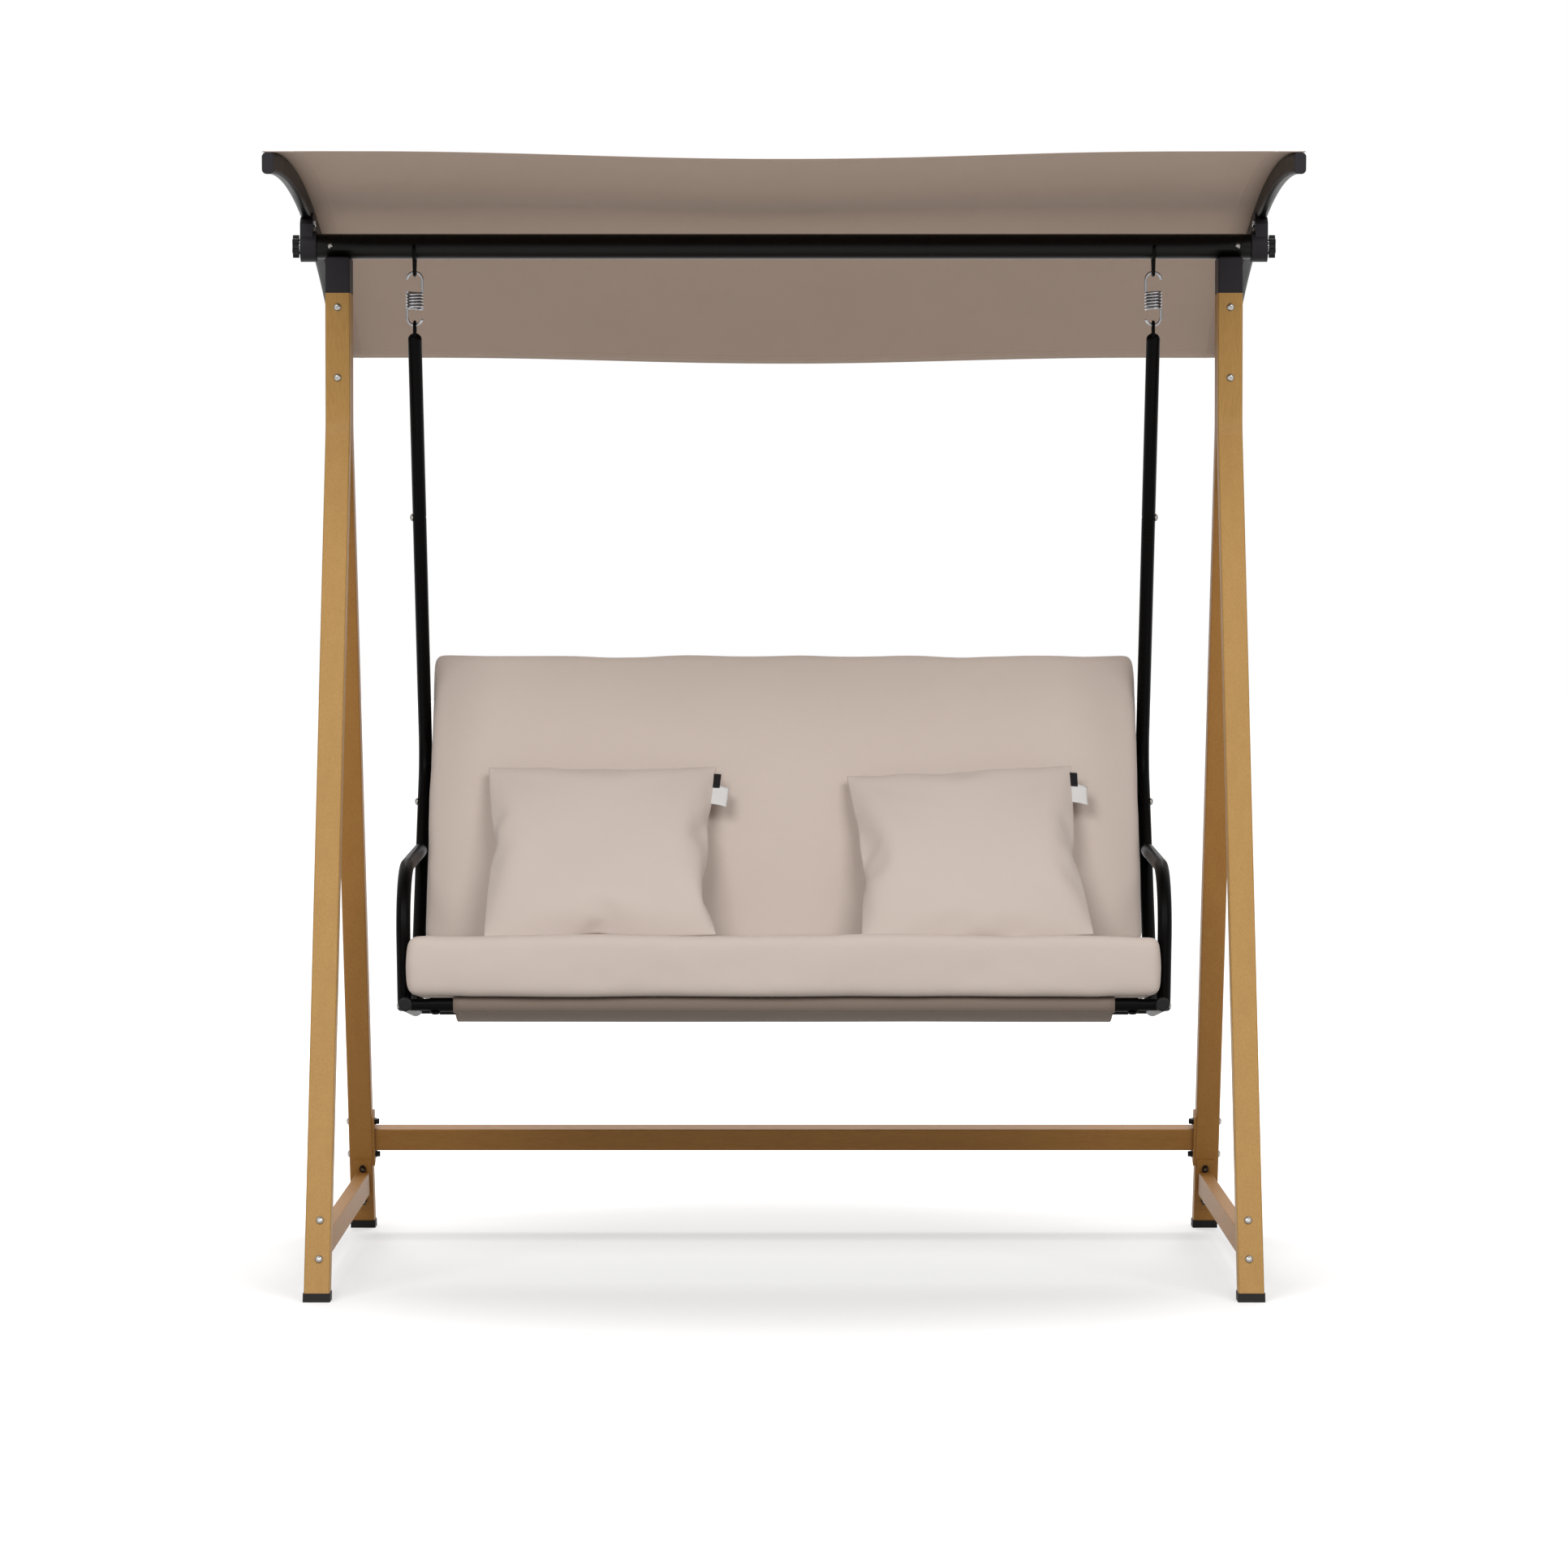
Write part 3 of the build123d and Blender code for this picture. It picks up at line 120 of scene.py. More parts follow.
# ---------------------------------------------------------------- material building
class Tree:
    """Short way to build a node tree."""

    def __init__(self, tree):
        self.tree = tree
        tree.nodes.clear()

    def put(self, value, socket):
        """Links another node's output to the socket, or sets it to a plain value."""
        if hasattr(value, "is_output"):
            self.tree.links.new(value, socket)
        else:
            socket.default_value = value

    def node(self, kind, inputs=None, **settings):
        made = self.tree.nodes.new(kind)
        for key, value in settings.items():
            setattr(made, key, value)
        for key, value in (inputs or {}).items():
            self.put(value, made.inputs[key])
        return made

    def math(self, operation, a, b=0.0, clamp=False):
        return self.node("ShaderNodeMath", {0: a, 1: b}, operation=operation, use_clamp=clamp).outputs[0]

    def ramp(self, value, low, high):
        return self.node("ShaderNodeMapRange", {"Value": value, "To Min": low, "To Max": high}).outputs[0]

    def seen(self):
        """1 where a thing is seen, by itself or in metal and glass, and 0 where it only gives light."""
        rays = self.node("ShaderNodeLightPath").outputs
        mirrored = self.math("MAXIMUM", rays["Is Glossy Ray"], rays["Is Transmission Ray"])
        return self.math("MAXIMUM", rays["Is Camera Ray"], mirrored)


class Look(Tree):
    """One material: a Principled shader and what feeds it."""

    def __init__(self, name):
        self.material = bpy.data.materials.new(name)
        self.material.use_nodes = True
        super().__init__(self.material.node_tree)
        self.out = self.node("ShaderNodeOutputMaterial")
        self.shader = self.node("ShaderNodeBsdfPrincipled")
        self.put(self.shader.outputs[0], self.out.inputs["Surface"])
        self.place = self.node("ShaderNodeTexCoord").outputs["Object"]

    def noise(self, scale, size, detail=3.0, rough=0.55):
        stretched = self.node("ShaderNodeMapping", {"Vector": self.place, "Scale": size}).outputs[0]
        return self.node("ShaderNodeTexNoise", {"Vector": stretched, "Scale": scale, "Detail": detail,
                                                "Roughness": rough}).outputs["Fac"]

    def mix(self, factor, a, b):
        # a colour mix keeps its two colours in inputs 6 and 7, and its colour in output 2
        return self.node("ShaderNodeMix", {0: factor, 6: a, 7: b}, data_type="RGBA").outputs[2]

    def bump(self, height, distance, strength=1.0):
        inputs = {"Height": height, "Distance": distance, "Strength": strength}
        return self.node("ShaderNodeBump", inputs).outputs[0]

    def finish(self, **inputs):
        for key, value in inputs.items():
            self.put(value, self.shader.inputs[key.replace("_", " ")])
        return self.material


def wood_look(name, along, pale, deep, line):
    """Painted metal printed with a fine wood grain that runs along the given axis."""
    n = Look(name)
    long_way = {"x": (1, 14, 14), "y": (14, 1, 14), "z": (14, 14, 1)}[along]
    broad = n.noise(3.2, long_way, 4.0, 0.6)
    fine = n.noise(42.0, long_way, 5.0, 0.7)
    tone = n.mix(n.ramp(broad, 0.0, 1.0), deep, pale)
    grain = n.math("MULTIPLY", n.math("SUBTRACT", fine, 0.5), 1.6)
    tone = n.mix(n.math("ADD", grain, 0.18, True), tone, line)
    return n.finish(Base_Color=tone, Roughness=n.ramp(fine, 0.42, 0.56), Normal=n.bump(fine, 0.0003, 0.35),
                    Specular_IOR_Level=0.3)


def paint(name, colour, roughness, specular, relief=0.00012, scale=900.0):
    """Powder coat: an even colour with a very fine orange peel."""
    n = Look(name)
    peel = n.noise(scale, (1, 1, 1), 2.0)
    cloud = n.noise(9.0, (1, 1, 1))
    paler = tuple(c * 1.25 for c in colour[:3]) + (1.0,)
    return n.finish(Base_Color=n.mix(n.ramp(cloud, 0.0, 0.5), colour, paler),
                    Roughness=n.ramp(cloud, roughness - 0.03, roughness + 0.05),
                    Normal=n.bump(peel, relief, 0.3), Specular_IOR_Level=specular)


def metal(name, colour, roughness):
    n = Look(name)
    streak = n.noise(160.0, (1, 1, 6))
    return n.finish(Base_Color=colour, Metallic=1.0, Roughness=n.ramp(streak, roughness, roughness + 0.1),
                    Normal=n.bump(streak, 0.00005, 0.4))


GAP_SHADE_AND_SLUB = 0.25                     # how far the dark tone comes through: painted shade in the low gaps between the crossing yarns, and uneven slubs along the yarns


def weave(name, colour, dark, thread, relief, roughness=0.85, sheen=0.15):
    """Plain weave: two families of threads crossing, with uneven, slubby yarn, and painted shade where the
    weave is low.
    """
    n = Look(name)
    flat = n.node("ShaderNodeTexCoord").outputs["UV"]
    split = n.node("ShaderNodeSeparateXYZ", {"Vector": flat})
    turns = math.pi / thread
    across = n.math("SINE", n.math("MULTIPLY", split.outputs[0], turns))
    along = n.math("SINE", n.math("MULTIPLY", split.outputs[1], turns))
    height = n.math("ADD", n.math("MULTIPLY", n.math("MULTIPLY", across, along), 0.5), 0.5)
    yarns = n.node("ShaderNodeMapping", {"Vector": flat, "Scale": (60, 900, 1)}).outputs[0]
    uneven = n.node("ShaderNodeTexNoise", {"Vector": yarns, "Scale": 1.0, "Detail": 2.0}).outputs["Fac"]
    cloud = n.noise(5.0, (1, 1, 1), 4.0)
    # painted shade: darker where the weave is low, between the threads
    tone = n.mix(n.math("MULTIPLY", n.math("SUBTRACT", 1.0, height), GAP_SHADE_AND_SLUB), colour, dark)
    tone = n.mix(n.math("MULTIPLY", uneven, GAP_SHADE_AND_SLUB), tone, dark)
    tone = n.mix(n.ramp(cloud, 0.0, 0.16), tone, dark)
    return n.finish(Base_Color=tone, Roughness=roughness,
                    Normal=n.bump(n.math("ADD", height, uneven), relief, 0.5),
                    Sheen_Weight=sheen, Sheen_Roughness=0.5, Specular_IOR_Level=0.2)


# ---------------------------------------------------------------- materials
LOOKS = {
    "black_paint": paint("black powder coat", srgb(6, 5, 5), 0.36, 0.045),
    "dark_grey": paint("dark grey cast parts", srgb(39, 37, 40), 0.5, 0.1, relief=0.0002, scale=700.0),
    "black_plastic": paint("black plastic", srgb(18, 17, 17), 0.42, 0.15),
    "rubber_black": paint("foot caps", srgb(34, 32, 31), 0.6, 0.12),
    "bolt_steel": metal("zinc plated steel", srgb(158, 156, 152), 0.3),
    "chrome": metal("chromed wire", srgb(150, 150, 153), 0.16),
}
SATIN_BLACK = paint("satin black tube", srgb(9, 8, 7), 0.36, 0.13)
FRONT_TONE = (srgb(180, 139, 74), srgb(166, 125, 63), srgb(142, 101, 45))
# A darker copy of the front legs' wood tones: painted shade for the rear legs and the stretchers, which get
# less light
SHADED_WOOD_TONE = (srgb(165, 118, 57), srgb(152, 105, 47), srgb(128, 84, 33))
GRAIN = {
    "front": wood_look("wood look, front legs", "z", *FRONT_TONE),
    "rear": wood_look("wood look, rear legs, painted shade", "z", *SHADED_WOOD_TONE),
    "x": wood_look("wood look across, painted shade", "x", *SHADED_WOOD_TONE),
    "y": wood_look("wood look, sides, painted shade", "y", *SHADED_WOOD_TONE),
}
STRETCHER_GRAIN = {"rear_stretcher": "x", "side_stretcher_left": "y", "side_stretcher_right": "y"}
# The underside, which the camera sees, takes a paler copy of the canopy cloth: painted light that brightens
# it
CANOPY_OUTER = weave("canopy cloth, outer face", srgb(154, 136, 123), srgb(126, 109, 97),
                     0.0011, 0.0002)
CANOPY_UNDERSIDE_PAINTED_LIGHT = weave("canopy cloth", srgb(193, 170, 152), srgb(156, 133, 116), 0.0011, 0.0002)
SLING_CLOTH = weave("sling cloth", srgb(132, 117, 106), srgb(100, 87, 78), 0.0009, 0.0002)
CUSHION_CLOTH = weave("cushion cloth", srgb(205, 192, 183), srgb(182, 167, 156), 0.0008, 0.00015)
PILLOW_CLOTH = weave("pillow cloth", srgb(206, 194, 186), srgb(186, 172, 161), 0.0007, 0.00012)
RIBBON_BLACK = weave("black ribbon", srgb(20, 19, 20), srgb(8, 8, 8), 0.0005, 0.0001, 0.7, 0.05)
LABEL_WHITE = weave("white label", srgb(214, 213, 212), srgb(196, 195, 194), 0.0005, 0.0001, 0.8, 0.0)

for node, obj in NODES.items():
    if SLOTS[node] == "wood_look":
        look = GRAIN[STRETCHER_GRAIN.get(node, node.split("_")[0])]
    elif node == "top_beam":
        look = SATIN_BLACK
    else:
        look = LOOKS.get(SLOTS[node])
    if look:
        obj.data.materials.clear()
        obj.data.materials.append(look)


def coil_spring(side):
    """The spring's own wire, copied from its CAD node, which is hidden."""
    node = f"spring_{side}"
    wire = bpy.data.objects.new(f"{node}_wire", NODES[node].data.copy())
    bpy.context.collection.objects.link(wire)
    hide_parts(node)
    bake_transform(wire)


coil_spring("left")
coil_spring("right")


# ---------------------------------------------------------------- sheets
CLOTH_SLACK = 0.0003            # between a sheet and the metal that it lies on


def even(count):
    return [i / count for i in range(count + 1)]


def cloth_grid(bm, across, along, width, length, point):
    """A sheet with a line of points at each share across and along it, each placed by point(s, t)."""
    layer = bm.loops.layers.uv.new("metres")
    rows = [[bm.verts.new(point(s, t)) for s in across] for t in along]
    for j in range(len(along) - 1):
        for i in range(len(across) - 1):
            face = bm.faces.new([rows[j + dj][i + di] for di, dj in CORNERS])
            for loop, (di, dj) in zip(face.loops, CORNERS):
                loop[layer].uv = (across[i + di] * width, along[j + dj] * length)


def arc(centre, radius, start, turn, count=14):
    """(y, z) points on an arc, angles in degrees from the rear, upwards positive."""
    angles = [math.radians(start + turn * i / count) for i in range(count + 1)]
    return [(centre[0] + radius * math.cos(a), centre[1] + radius * math.sin(a)) for a in angles]


def path_length(points):
    return sum(math.dist(a, b) for a, b in zip(points, points[1:]))


def path_point(points, t):
    """Point at a share t of the way along a list of (y, z) points."""
    left = t * path_length(points)
    for a, b in zip(points, points[1:]):
        step = math.dist(a, b)
        if left <= step:
            return (a[0] + (b[0] - a[0]) * left / step, a[1] + (b[1] - a[1]) * left / step)
        left -= step
    return points[-1]


# ---------------------------------------------------------------- canopy
RAIL_RADIUS = 3.788             # underside of the side rails
RAIL_HEIGHT = 0.0365
RAIL_WIDTH = 0.020
CREST_FROM_BEAM = -0.562        # where the rails run level, front to back
CANOPY_SAG = 0.013
SAG_HALF = 0.70                 # half width of the sagging middle
CANOPY_THICK = 0.0016
HEM = 0.032                     # front and rear hems
SLEEVE = 0.048                  # sleeve over each side rail
WAVE = 0.0011                   # broad unevenness of the stretched sheet
PULL = 0.0006                   # short creases beside the rails, where the sheet is pulled
CREASE_RATE = 55                # of those creases along the rails, in radians a metre
SEAM_DEPTH = 0.0005
SEAM_WIDTH = 0.0016

beam = middle("top_beam")
canopy_low, canopy_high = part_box("canopy_fabric")
crest_y = beam.y + CREST_FROM_BEAM
cloth_radius = RAIL_RADIUS + RAIL_HEIGHT + CLOTH_SLACK + CANOPY_THICK / 2
centre_z = canopy_high.z - cloth_radius - CANOPY_THICK / 2
front_angle = math.asin((crest_y - canopy_low.y) / cloth_radius)
rear_angle = math.asin((canopy_high.y - crest_y) / cloth_radius)
canopy_length = cloth_radius * (front_angle + rear_angle)
half_canopy = (canopy_high.x - canopy_low.x) / 2
rail_inside = half_canopy - RAIL_WIDTH + 0.001


def pressed(distance):
    """How far a seam draws the cloth in, at a distance from its stitches."""
    return SEAM_DEPTH * math.exp(-(distance / SEAM_WIDTH) ** 2)


def canopy_point(s, t):
    x = (2 * s - 1) * half_canopy
    along = t * canopy_length
    angle = -front_angle + t * (front_angle + rear_angle)
    inner = min(1.0, abs(x) / rail_inside)
    sag = CANOPY_SAG * (1 + math.cos(math.pi * min(1.0, abs(x) / SAG_HALF))) / 2
    ease = math.sin(math.pi * t) ** 0.5 if 0 < t < 1 else 0.0
    wave = WAVE * noise.noise((x * 3.1, along * 1.3, 4.2)) * (1 - inner ** 6) * (0.4 + 0.6 * ease)
    creases = math.sin(along * CREASE_RATE + 2.4 * noise.noise((along * 2, x, 0)))
    pull = PULL * creases * smoothstep((inner - 0.82) * 6) * (1 - inner ** 8)
    seams = pressed(abs(x) - (half_canopy - SLEEVE))
    seams += pressed(along - HEM) + pressed(along - (canopy_length - HEM))
    r = cloth_radius - sag + wave + pull - seams
    return Vector((x, crest_y + r * math.sin(angle), centre_z + r * math.cos(angle)))


def with_seams(count, seams, total):
    """Even shares of a total length, with close ones at each seam, where the cloth is pressed in."""
    shares = set(even(count))
    for seam in seams:
        shares |= {min(1.0, max(0.0, (seam + d) / total)) for d in (-0.004, -0.0016, 0.0, 0.0016, 0.004)}
    return sorted(shares)


def make_canopy(bm):
    width = 2 * half_canopy
    across = with_seams(110, (SLEEVE, width - SLEEVE), width)
    along = with_seams(96, (HEM, canopy_length - HEM), canopy_length)
    cloth_grid(bm, across, along, width, canopy_length, canopy_point)


canopy = add_piece("canopy_sheet", make_canopy, "canopy", "canopy_fabric", CANOPY_OUTER)
canopy.data.materials.append(CANOPY_UNDERSIDE_PAINTED_LIGHT)
thicken(canopy, CANOPY_THICK).material_offset = 1       # the underside takes the second cloth, the paler copy that carries painted light

# ---------------------------------------------------------------- slings under the cushions
SLING_THICK = 0.0022
SEAT_TUBE_RADIUS = 0.0127
BACK_TUBE_RADIUS = 0.011
POST_FOOT = (0.0161, 0.465)     # the posts' axis above their bend: y behind the beam, and z
POST_TOP = (0.3184, 0.9226)
BACK_LEAN = math.atan2(POST_TOP[0] - POST_FOOT[0], POST_TOP[1] - POST_FOOT[1])


def hanging(a, b, low, count=26):
    """(y, z) points of cloth that hangs from a to b and reaches down to the height low."""
    deepest = a[1] + (b[1] - a[1]) * 0.5 - low
    points = []
    for i in range(1, count):
        t = i / count
        chord = a[1] + (b[1] - a[1]) * t
        points.append((a[0] + (b[0] - a[0]) * t, chord - deepest * (4 * t * (1 - t)) ** 0.8))
    return points


front_tube, rear_tube = middle("seat_front_tube"), middle("seat_rear_tube")
seat_low, seat_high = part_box("seat_sling")
sling_half = (seat_high.x - seat_low.x) / 2
wrap = SEAT_TUBE_RADIUS + CLOTH_SLACK + SLING_THICK / 2
front_wrap = arc((front_tube.y, front_tube.z), wrap, 250, -165)
rear_wrap = arc((rear_tube.y, rear_tube.z), wrap, 95, -165)
sling_bottom = seat_low.z + SLING_THICK / 2 + 0.0005
seat_path = front_wrap + hanging(front_wrap[-1], rear_wrap[0], sling_bottom) + rear_wrap
seat_length = path_length(seat_path)


def seat_point(s, t):
    y, z = path_point(seat_path, t)
    x = (2 * s - 1) * sling_half
    z += 0.0008 * noise.noise((x * 4, t * 5, 1.7)) * smoothstep((0.5 - abs(t - 0.5)) * 8 - 1)
    return Vector((x, y, z))


def make_seat_sling(bm):
    cloth_grid(bm, even(80), even(90), 2 * sling_half, seat_length, seat_point)


seat_sling = add_piece("seat_sling_sheet", make_seat_sling, "seat", "seat_sling", SLING_CLOTH)
thicken(seat_sling, SLING_THICK)

back_low, back_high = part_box("back_sling")
frame_low, frame_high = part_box("back_frame")
up_back = Vector((0, math.sin(BACK_LEAN), math.cos(BACK_LEAN)))
out_back = Vector((0, -math.cos(BACK_LEAN), math.sin(BACK_LEAN)))
top_rail = Vector((0, frame_high.y - BACK_TUBE_RADIUS, frame_high.z - BACK_TUBE_RADIUS))
low_rail = Vector((0, frame_low.y + BACK_TUBE_RADIUS, frame_low.z + BACK_TUBE_RADIUS))
back_half = (back_high.x - back_low.x) / 2
back_wrap = BACK_TUBE_RADIUS + CLOTH_SLACK + SLING_THICK / 2
rise = (top_rail - low_rail).length
back_path = arc((0, rise), back_wrap, 215, -215) + arc((0, 0), back_wrap, 0, -215)
back_length = path_length(back_path)


def back_point(s, t):
    out, up = path_point(back_path, t)
    x = (2 * s - 1) * back_half
    return Vector((x, 0, 0)) + low_rail + out_back * out + up_back * up


def make_back_sling(bm):
    cloth_grid(bm, even(60), even(80), 2 * back_half, back_length, back_point)


back_sling = add_piece("back_sling_sheet", make_back_sling, "seat", "back_sling", SLING_CLOTH)
thicken(back_sling, SLING_THICK)


# ---------------------------------------------------------------- box cushions
CUSHION_CELL = 0.0125


def rounded_box(bm, half, radius):
    """Closed box of square cells with rounded edges and corners."""
    counts = [max(2, round(2 * h / CUSHION_CELL)) for h in half]
    found = {}

    def vert(i, j, k):
        key = (i, j, k)
        if key not in found:
            p = [(-1 + 2 * n / c) * h for n, c, h in zip(key, counts, half)]
            core = [max(-(h - radius), min(h - radius, c)) for c, h in zip(p, half)]
            away = Vector(p) - Vector(core)
            if away.length > 1e-9:
                away = away.normalized() * radius
            found[key] = bm.verts.new(Vector(core) + away)
        return found[key]

    for axis in range(3):
        a, b = [k for k in range(3) if k != axis]
        for end in (0, counts[axis]):
            for i in range(counts[a]):
                for j in range(counts[b]):
                    corners = []
                    for di, dj in CORNERS:
                        index = [0, 0, 0]
                        index[axis], index[a], index[b] = end, i + di, j + dj
                        corners.append(vert(*index))
                    bm.faces.new(corners)


def uv_box(bm):
    """Flat-pattern coordinates in metres, taken from the side each face looks to."""
    layer = bm.loops.layers.uv.new("metres")
    bm.normal_update()
    for face in bm.faces:
        n = [abs(c) for c in face.normal]
        a, b = ((1, 2), (0, 2), (0, 1))[n.index(max(n))]
        for loop in face.loops:
            loop[layer].uv = (loop.vert.co[a], loop.vert.co[b])


def pushed(u, v, w, seed):
    """Uneven filling: small outward moves, in metres, for a point at shares u, v, w of a cushion."""
    broad = noise.noise((u * 3.4 + seed, v * 1.9, w * 0.6 + seed))
    small = noise.noise((u * 13.0, v * 6.0 + seed, w * 2.0))
    return 0.0050 * broad + 0.0016 * small


def cushion(name, node, half, radius, place):
    """A box cushion of rounded cells with the given half sizes, each point moved by place(u, v, w)."""
    def make(bm):
        rounded_box(bm, half, radius)
        uv_box(bm)
        for vert in bm.verts:
            vert.co = place(*(c / h for c, h in zip(vert.co, half)))

    obj = add_piece(name, make, "seat", node, CUSHION_CLOTH)
    subdivide(obj)


# ---------------------------------------------------------------- seat cushion
SEAT_SLOPE = 0.1047
SEAT_TOP = 0.626                # at the cushion's front
CUSHION_GAP = 0.0008            # between the seat cushion and its sling
BACK_GAP = 0.014                # between the posts' axis and the back cushion
cushion_low, cushion_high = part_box("seat_cushion")
seat_front = cushion_low.y
half_seat = (cushion_high.x - cushion_low.x) / 2
post_corner = Vector((0, beam.y + POST_FOOT[0], POST_FOOT[1]))
above_sling = SLING_THICK / 2 + CUSHION_GAP
sling_top = [(y, z + above_sling) for y, z in seat_path[len(front_wrap) - 1:-len(rear_wrap) + 1]]


def seat_top(y):
    return SEAT_TOP - (y - seat_front) * SEAT_SLOPE


def sling_height(y):
    """Top of the hanging seat sling at y, held level beyond its two tubes."""
    if y <= sling_top[0][0]:
        return sling_top[0][1]
    for (y0, z0), (y1, z1) in zip(sling_top, sling_top[1:]):
        if y <= y1:
            return z0 + (z1 - z0) * (y - y0) / (y1 - y0)
    return sling_top[-1][1]


def seat_under(x, y):
    """Underside of the seat cushion: it lies in the sling, and level with its tubes outside it."""
    (y0, z0), (y1, z1) = sling_top[0], sling_top[-1]
    straight = z0 + (z1 - z0) * (y - y0) / (y1 - y0)
    inside = smoothstep((sling_half - 0.004 - abs(x)) / 0.03)
    return straight + (min(straight, sling_height(y)) - straight) * inside


def place_seat(u, v, w):
    """Points of the seat cushion: v runs from its front to the posts and w up."""
    x = u * half_seat
    rise = (w + 1) / 2
    lean = math.tan(BACK_LEAN) * rise * 0.10
    rear = post_corner.y - BACK_GAP / math.cos(BACK_LEAN) + 0.010 + lean
    y = seat_front + 0.004 + (v + 1) / 2 * (rear - seat_front - 0.004)
    low, high = seat_under(x, y), seat_top(y)
    z = low + rise * (high - low)
    crown = (1 - abs(u) ** 6) * (1 - abs(v) ** 4)
    bulge = pushed(u, v, w, 2.7)
    front = max(0.0, -v) ** 6
    y -= front * (0.003 * (1 - w * w) + bulge * 0.9)
    x += math.copysign(abs(u) ** 10 * (0.004 * (1 - w * w) + bulge * 0.5), u)
    if w > 0:
        z += w * (0.002 * crown + bulge)
    else:
        z += -w * abs(v) ** 3 * 0.004 * noise.noise((x * 7.0, 3.1, 0.4)) * front
    return Vector((x, y, z))


cushion("seat_cushion_soft", "seat_cushion", (half_seat, 0.185, 0.053), 0.015, place_seat)


# ---------------------------------------------------------------- back cushion
BACK_THICK = 0.088
BACK_TOP = 0.723                # up the posts, from their bend


def leaning(origin, lean):
    """Matrix with local x along +X, local y up a leaning back and local z out of its front."""
    up = Vector((0, math.sin(lean), math.cos(lean)))
    out = Vector((0, -math.cos(lean), math.sin(lean)))
    return Matrix.Translation(origin) @ Matrix((Vector((1, 0, 0)), up, out)).transposed().to_4x4()


posts = leaning(post_corner, BACK_LEAN)
back_cushion_low, back_cushion_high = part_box("back_cushion")
half_back = (back_cushion_high.x - back_cushion_low.x) / 2


def foot_on_seat(n):
    """How far up the posts a line n in front of them meets the seat cushion's top."""
    start = posts @ Vector((0, 0, n))
    return (seat_top(start.y) + 0.002 - start.z) / (math.cos(BACK_LEAN) + SEAT_SLOPE * math.sin(BACK_LEAN))


def place_back(u, v, w):
    """Points of the back cushion: v runs up it and w out of its front."""
    x = u * half_back
    n = BACK_GAP + (w + 1) / 2 * BACK_THICK
    foot = foot_on_seat(n)
    up = foot + (v + 1) / 2 * (BACK_TOP - foot)
    bulge = pushed(u, v, w, 8.3)
    crown = (1 - abs(u) ** 8) * (1 - abs(v) ** 4)
    if w > 0:
        n += w * (0.004 * crown + bulge)
    top = max(0.0, v) ** 8
    up += top * (0.0016 * math.sin(u * 19.0 + 0.8) + 0.0024 * noise.noise((u * 7.0, 1.3, 5.0)) - 0.003)
    x += math.copysign(abs(u) ** 10 * (bulge * 0.6 + 0.002 * (1 - v * v)), u)
    return posts @ Vector((x, up, n))


cushion("back_cushion_soft", "back_cushion", (half_back, 0.30, 0.044), 0.018, place_back)


# ---------------------------------------------------------------- pillows
PILLOW_SIZE = 0.430
PILLOW_THICK = 0.112
PILLOW_LEAN = math.radians(45)
PILLOW_CELLS = 64
PILLOW_EXTRA = 1.045            # the sheets are cut this much larger, because filling draws them in
PILLOW_BELLY = 0.028            # how far the cut sides bow out, as a share of half the size
PILLOW_FOOT = 0.062             # and its lower side, which carries the pillow's weight
FILL_STEPS = 26
EASE_ROUNDS = 9
EASE_SHARE = 0.6                # of the way to its neighbours' middle that a point moves in a round


def flat_pillow(bm, seed):
    """Two sheets joined at their edges, a little apart, cut fuller at the middle of each side."""
    half = PILLOW_SIZE / 2 * PILLOW_EXTRA
    sheets = []
    for side in (1, -1):
        grid = {}
        for i in range(PILLOW_CELLS + 1):
            for j in range(PILLOW_CELLS + 1):
                edge = i in (0, PILLOW_CELLS) or j in (0, PILLOW_CELLS)
                if edge and sheets:
                    grid[i, j] = sheets[0][i, j]
                    continue
                u, v = 2 * i / PILLOW_CELLS - 1, 2 * j / PILLOW_CELLS - 1
                lift = 0.0 if edge else side * 0.012 * (1 - u ** 4) * (1 - v ** 4) ** 0.7
                lift += 0.0 if edge else 0.0015 * noise.noise((u * 4 + seed, v * 4, side))
                bow = PILLOW_BELLY if v > 0 else PILLOW_FOOT
                grid[i, j] = bm.verts.new((u * half * (1 + PILLOW_BELLY * (1 - v * v)),
                                           v * half * (1 + bow * (1 - u * u)), lift))
        for i in range(PILLOW_CELLS):
            for j in range(PILLOW_CELLS):
                corners = [grid[i + di, j + dj] for di, dj in CORNERS]
                bm.faces.new(corners if side > 0 else corners[::-1])
        sheets.append(grid)
    layer = bm.loops.layers.uv.new("metres")
    for face in bm.faces:
        for loop in face.loops:
            loop[layer].uv = (loop.vert.co.x, loop.vert.co.y)


def eased(mesh):
    """Softens tight creases; the seam is eased along itself only, and its corners stay."""
    bm = bmesh.new()
    bm.from_mesh(mesh)
    bm.verts.ensure_lookup_table()
    row = PILLOW_CELLS + 1
    ends = (0, PILLOW_CELLS)
    seam = {i * row + j for i in range(row) for j in range(row) if i in ends or j in ends}
    corners = {i * row + j for i in ends for j in ends}
    near = {}
    for vert in bm.verts:
        linked = [edge.other_vert(vert) for edge in vert.link_edges]
        if vert.index in seam:
            linked = [other for other in linked if other.index in seam]
        near[vert] = [] if vert.index in corners else linked
    for _ in range(EASE_ROUNDS):
        targets = {vert: sum((other.co for other in linked), Vector()) / len(linked)
                   for vert, linked in near.items() if linked}
        for vert, target in targets.items():
            vert.co = vert.co.lerp(target, EASE_SHARE)
    bm.to_mesh(mesh)
    bm.free()


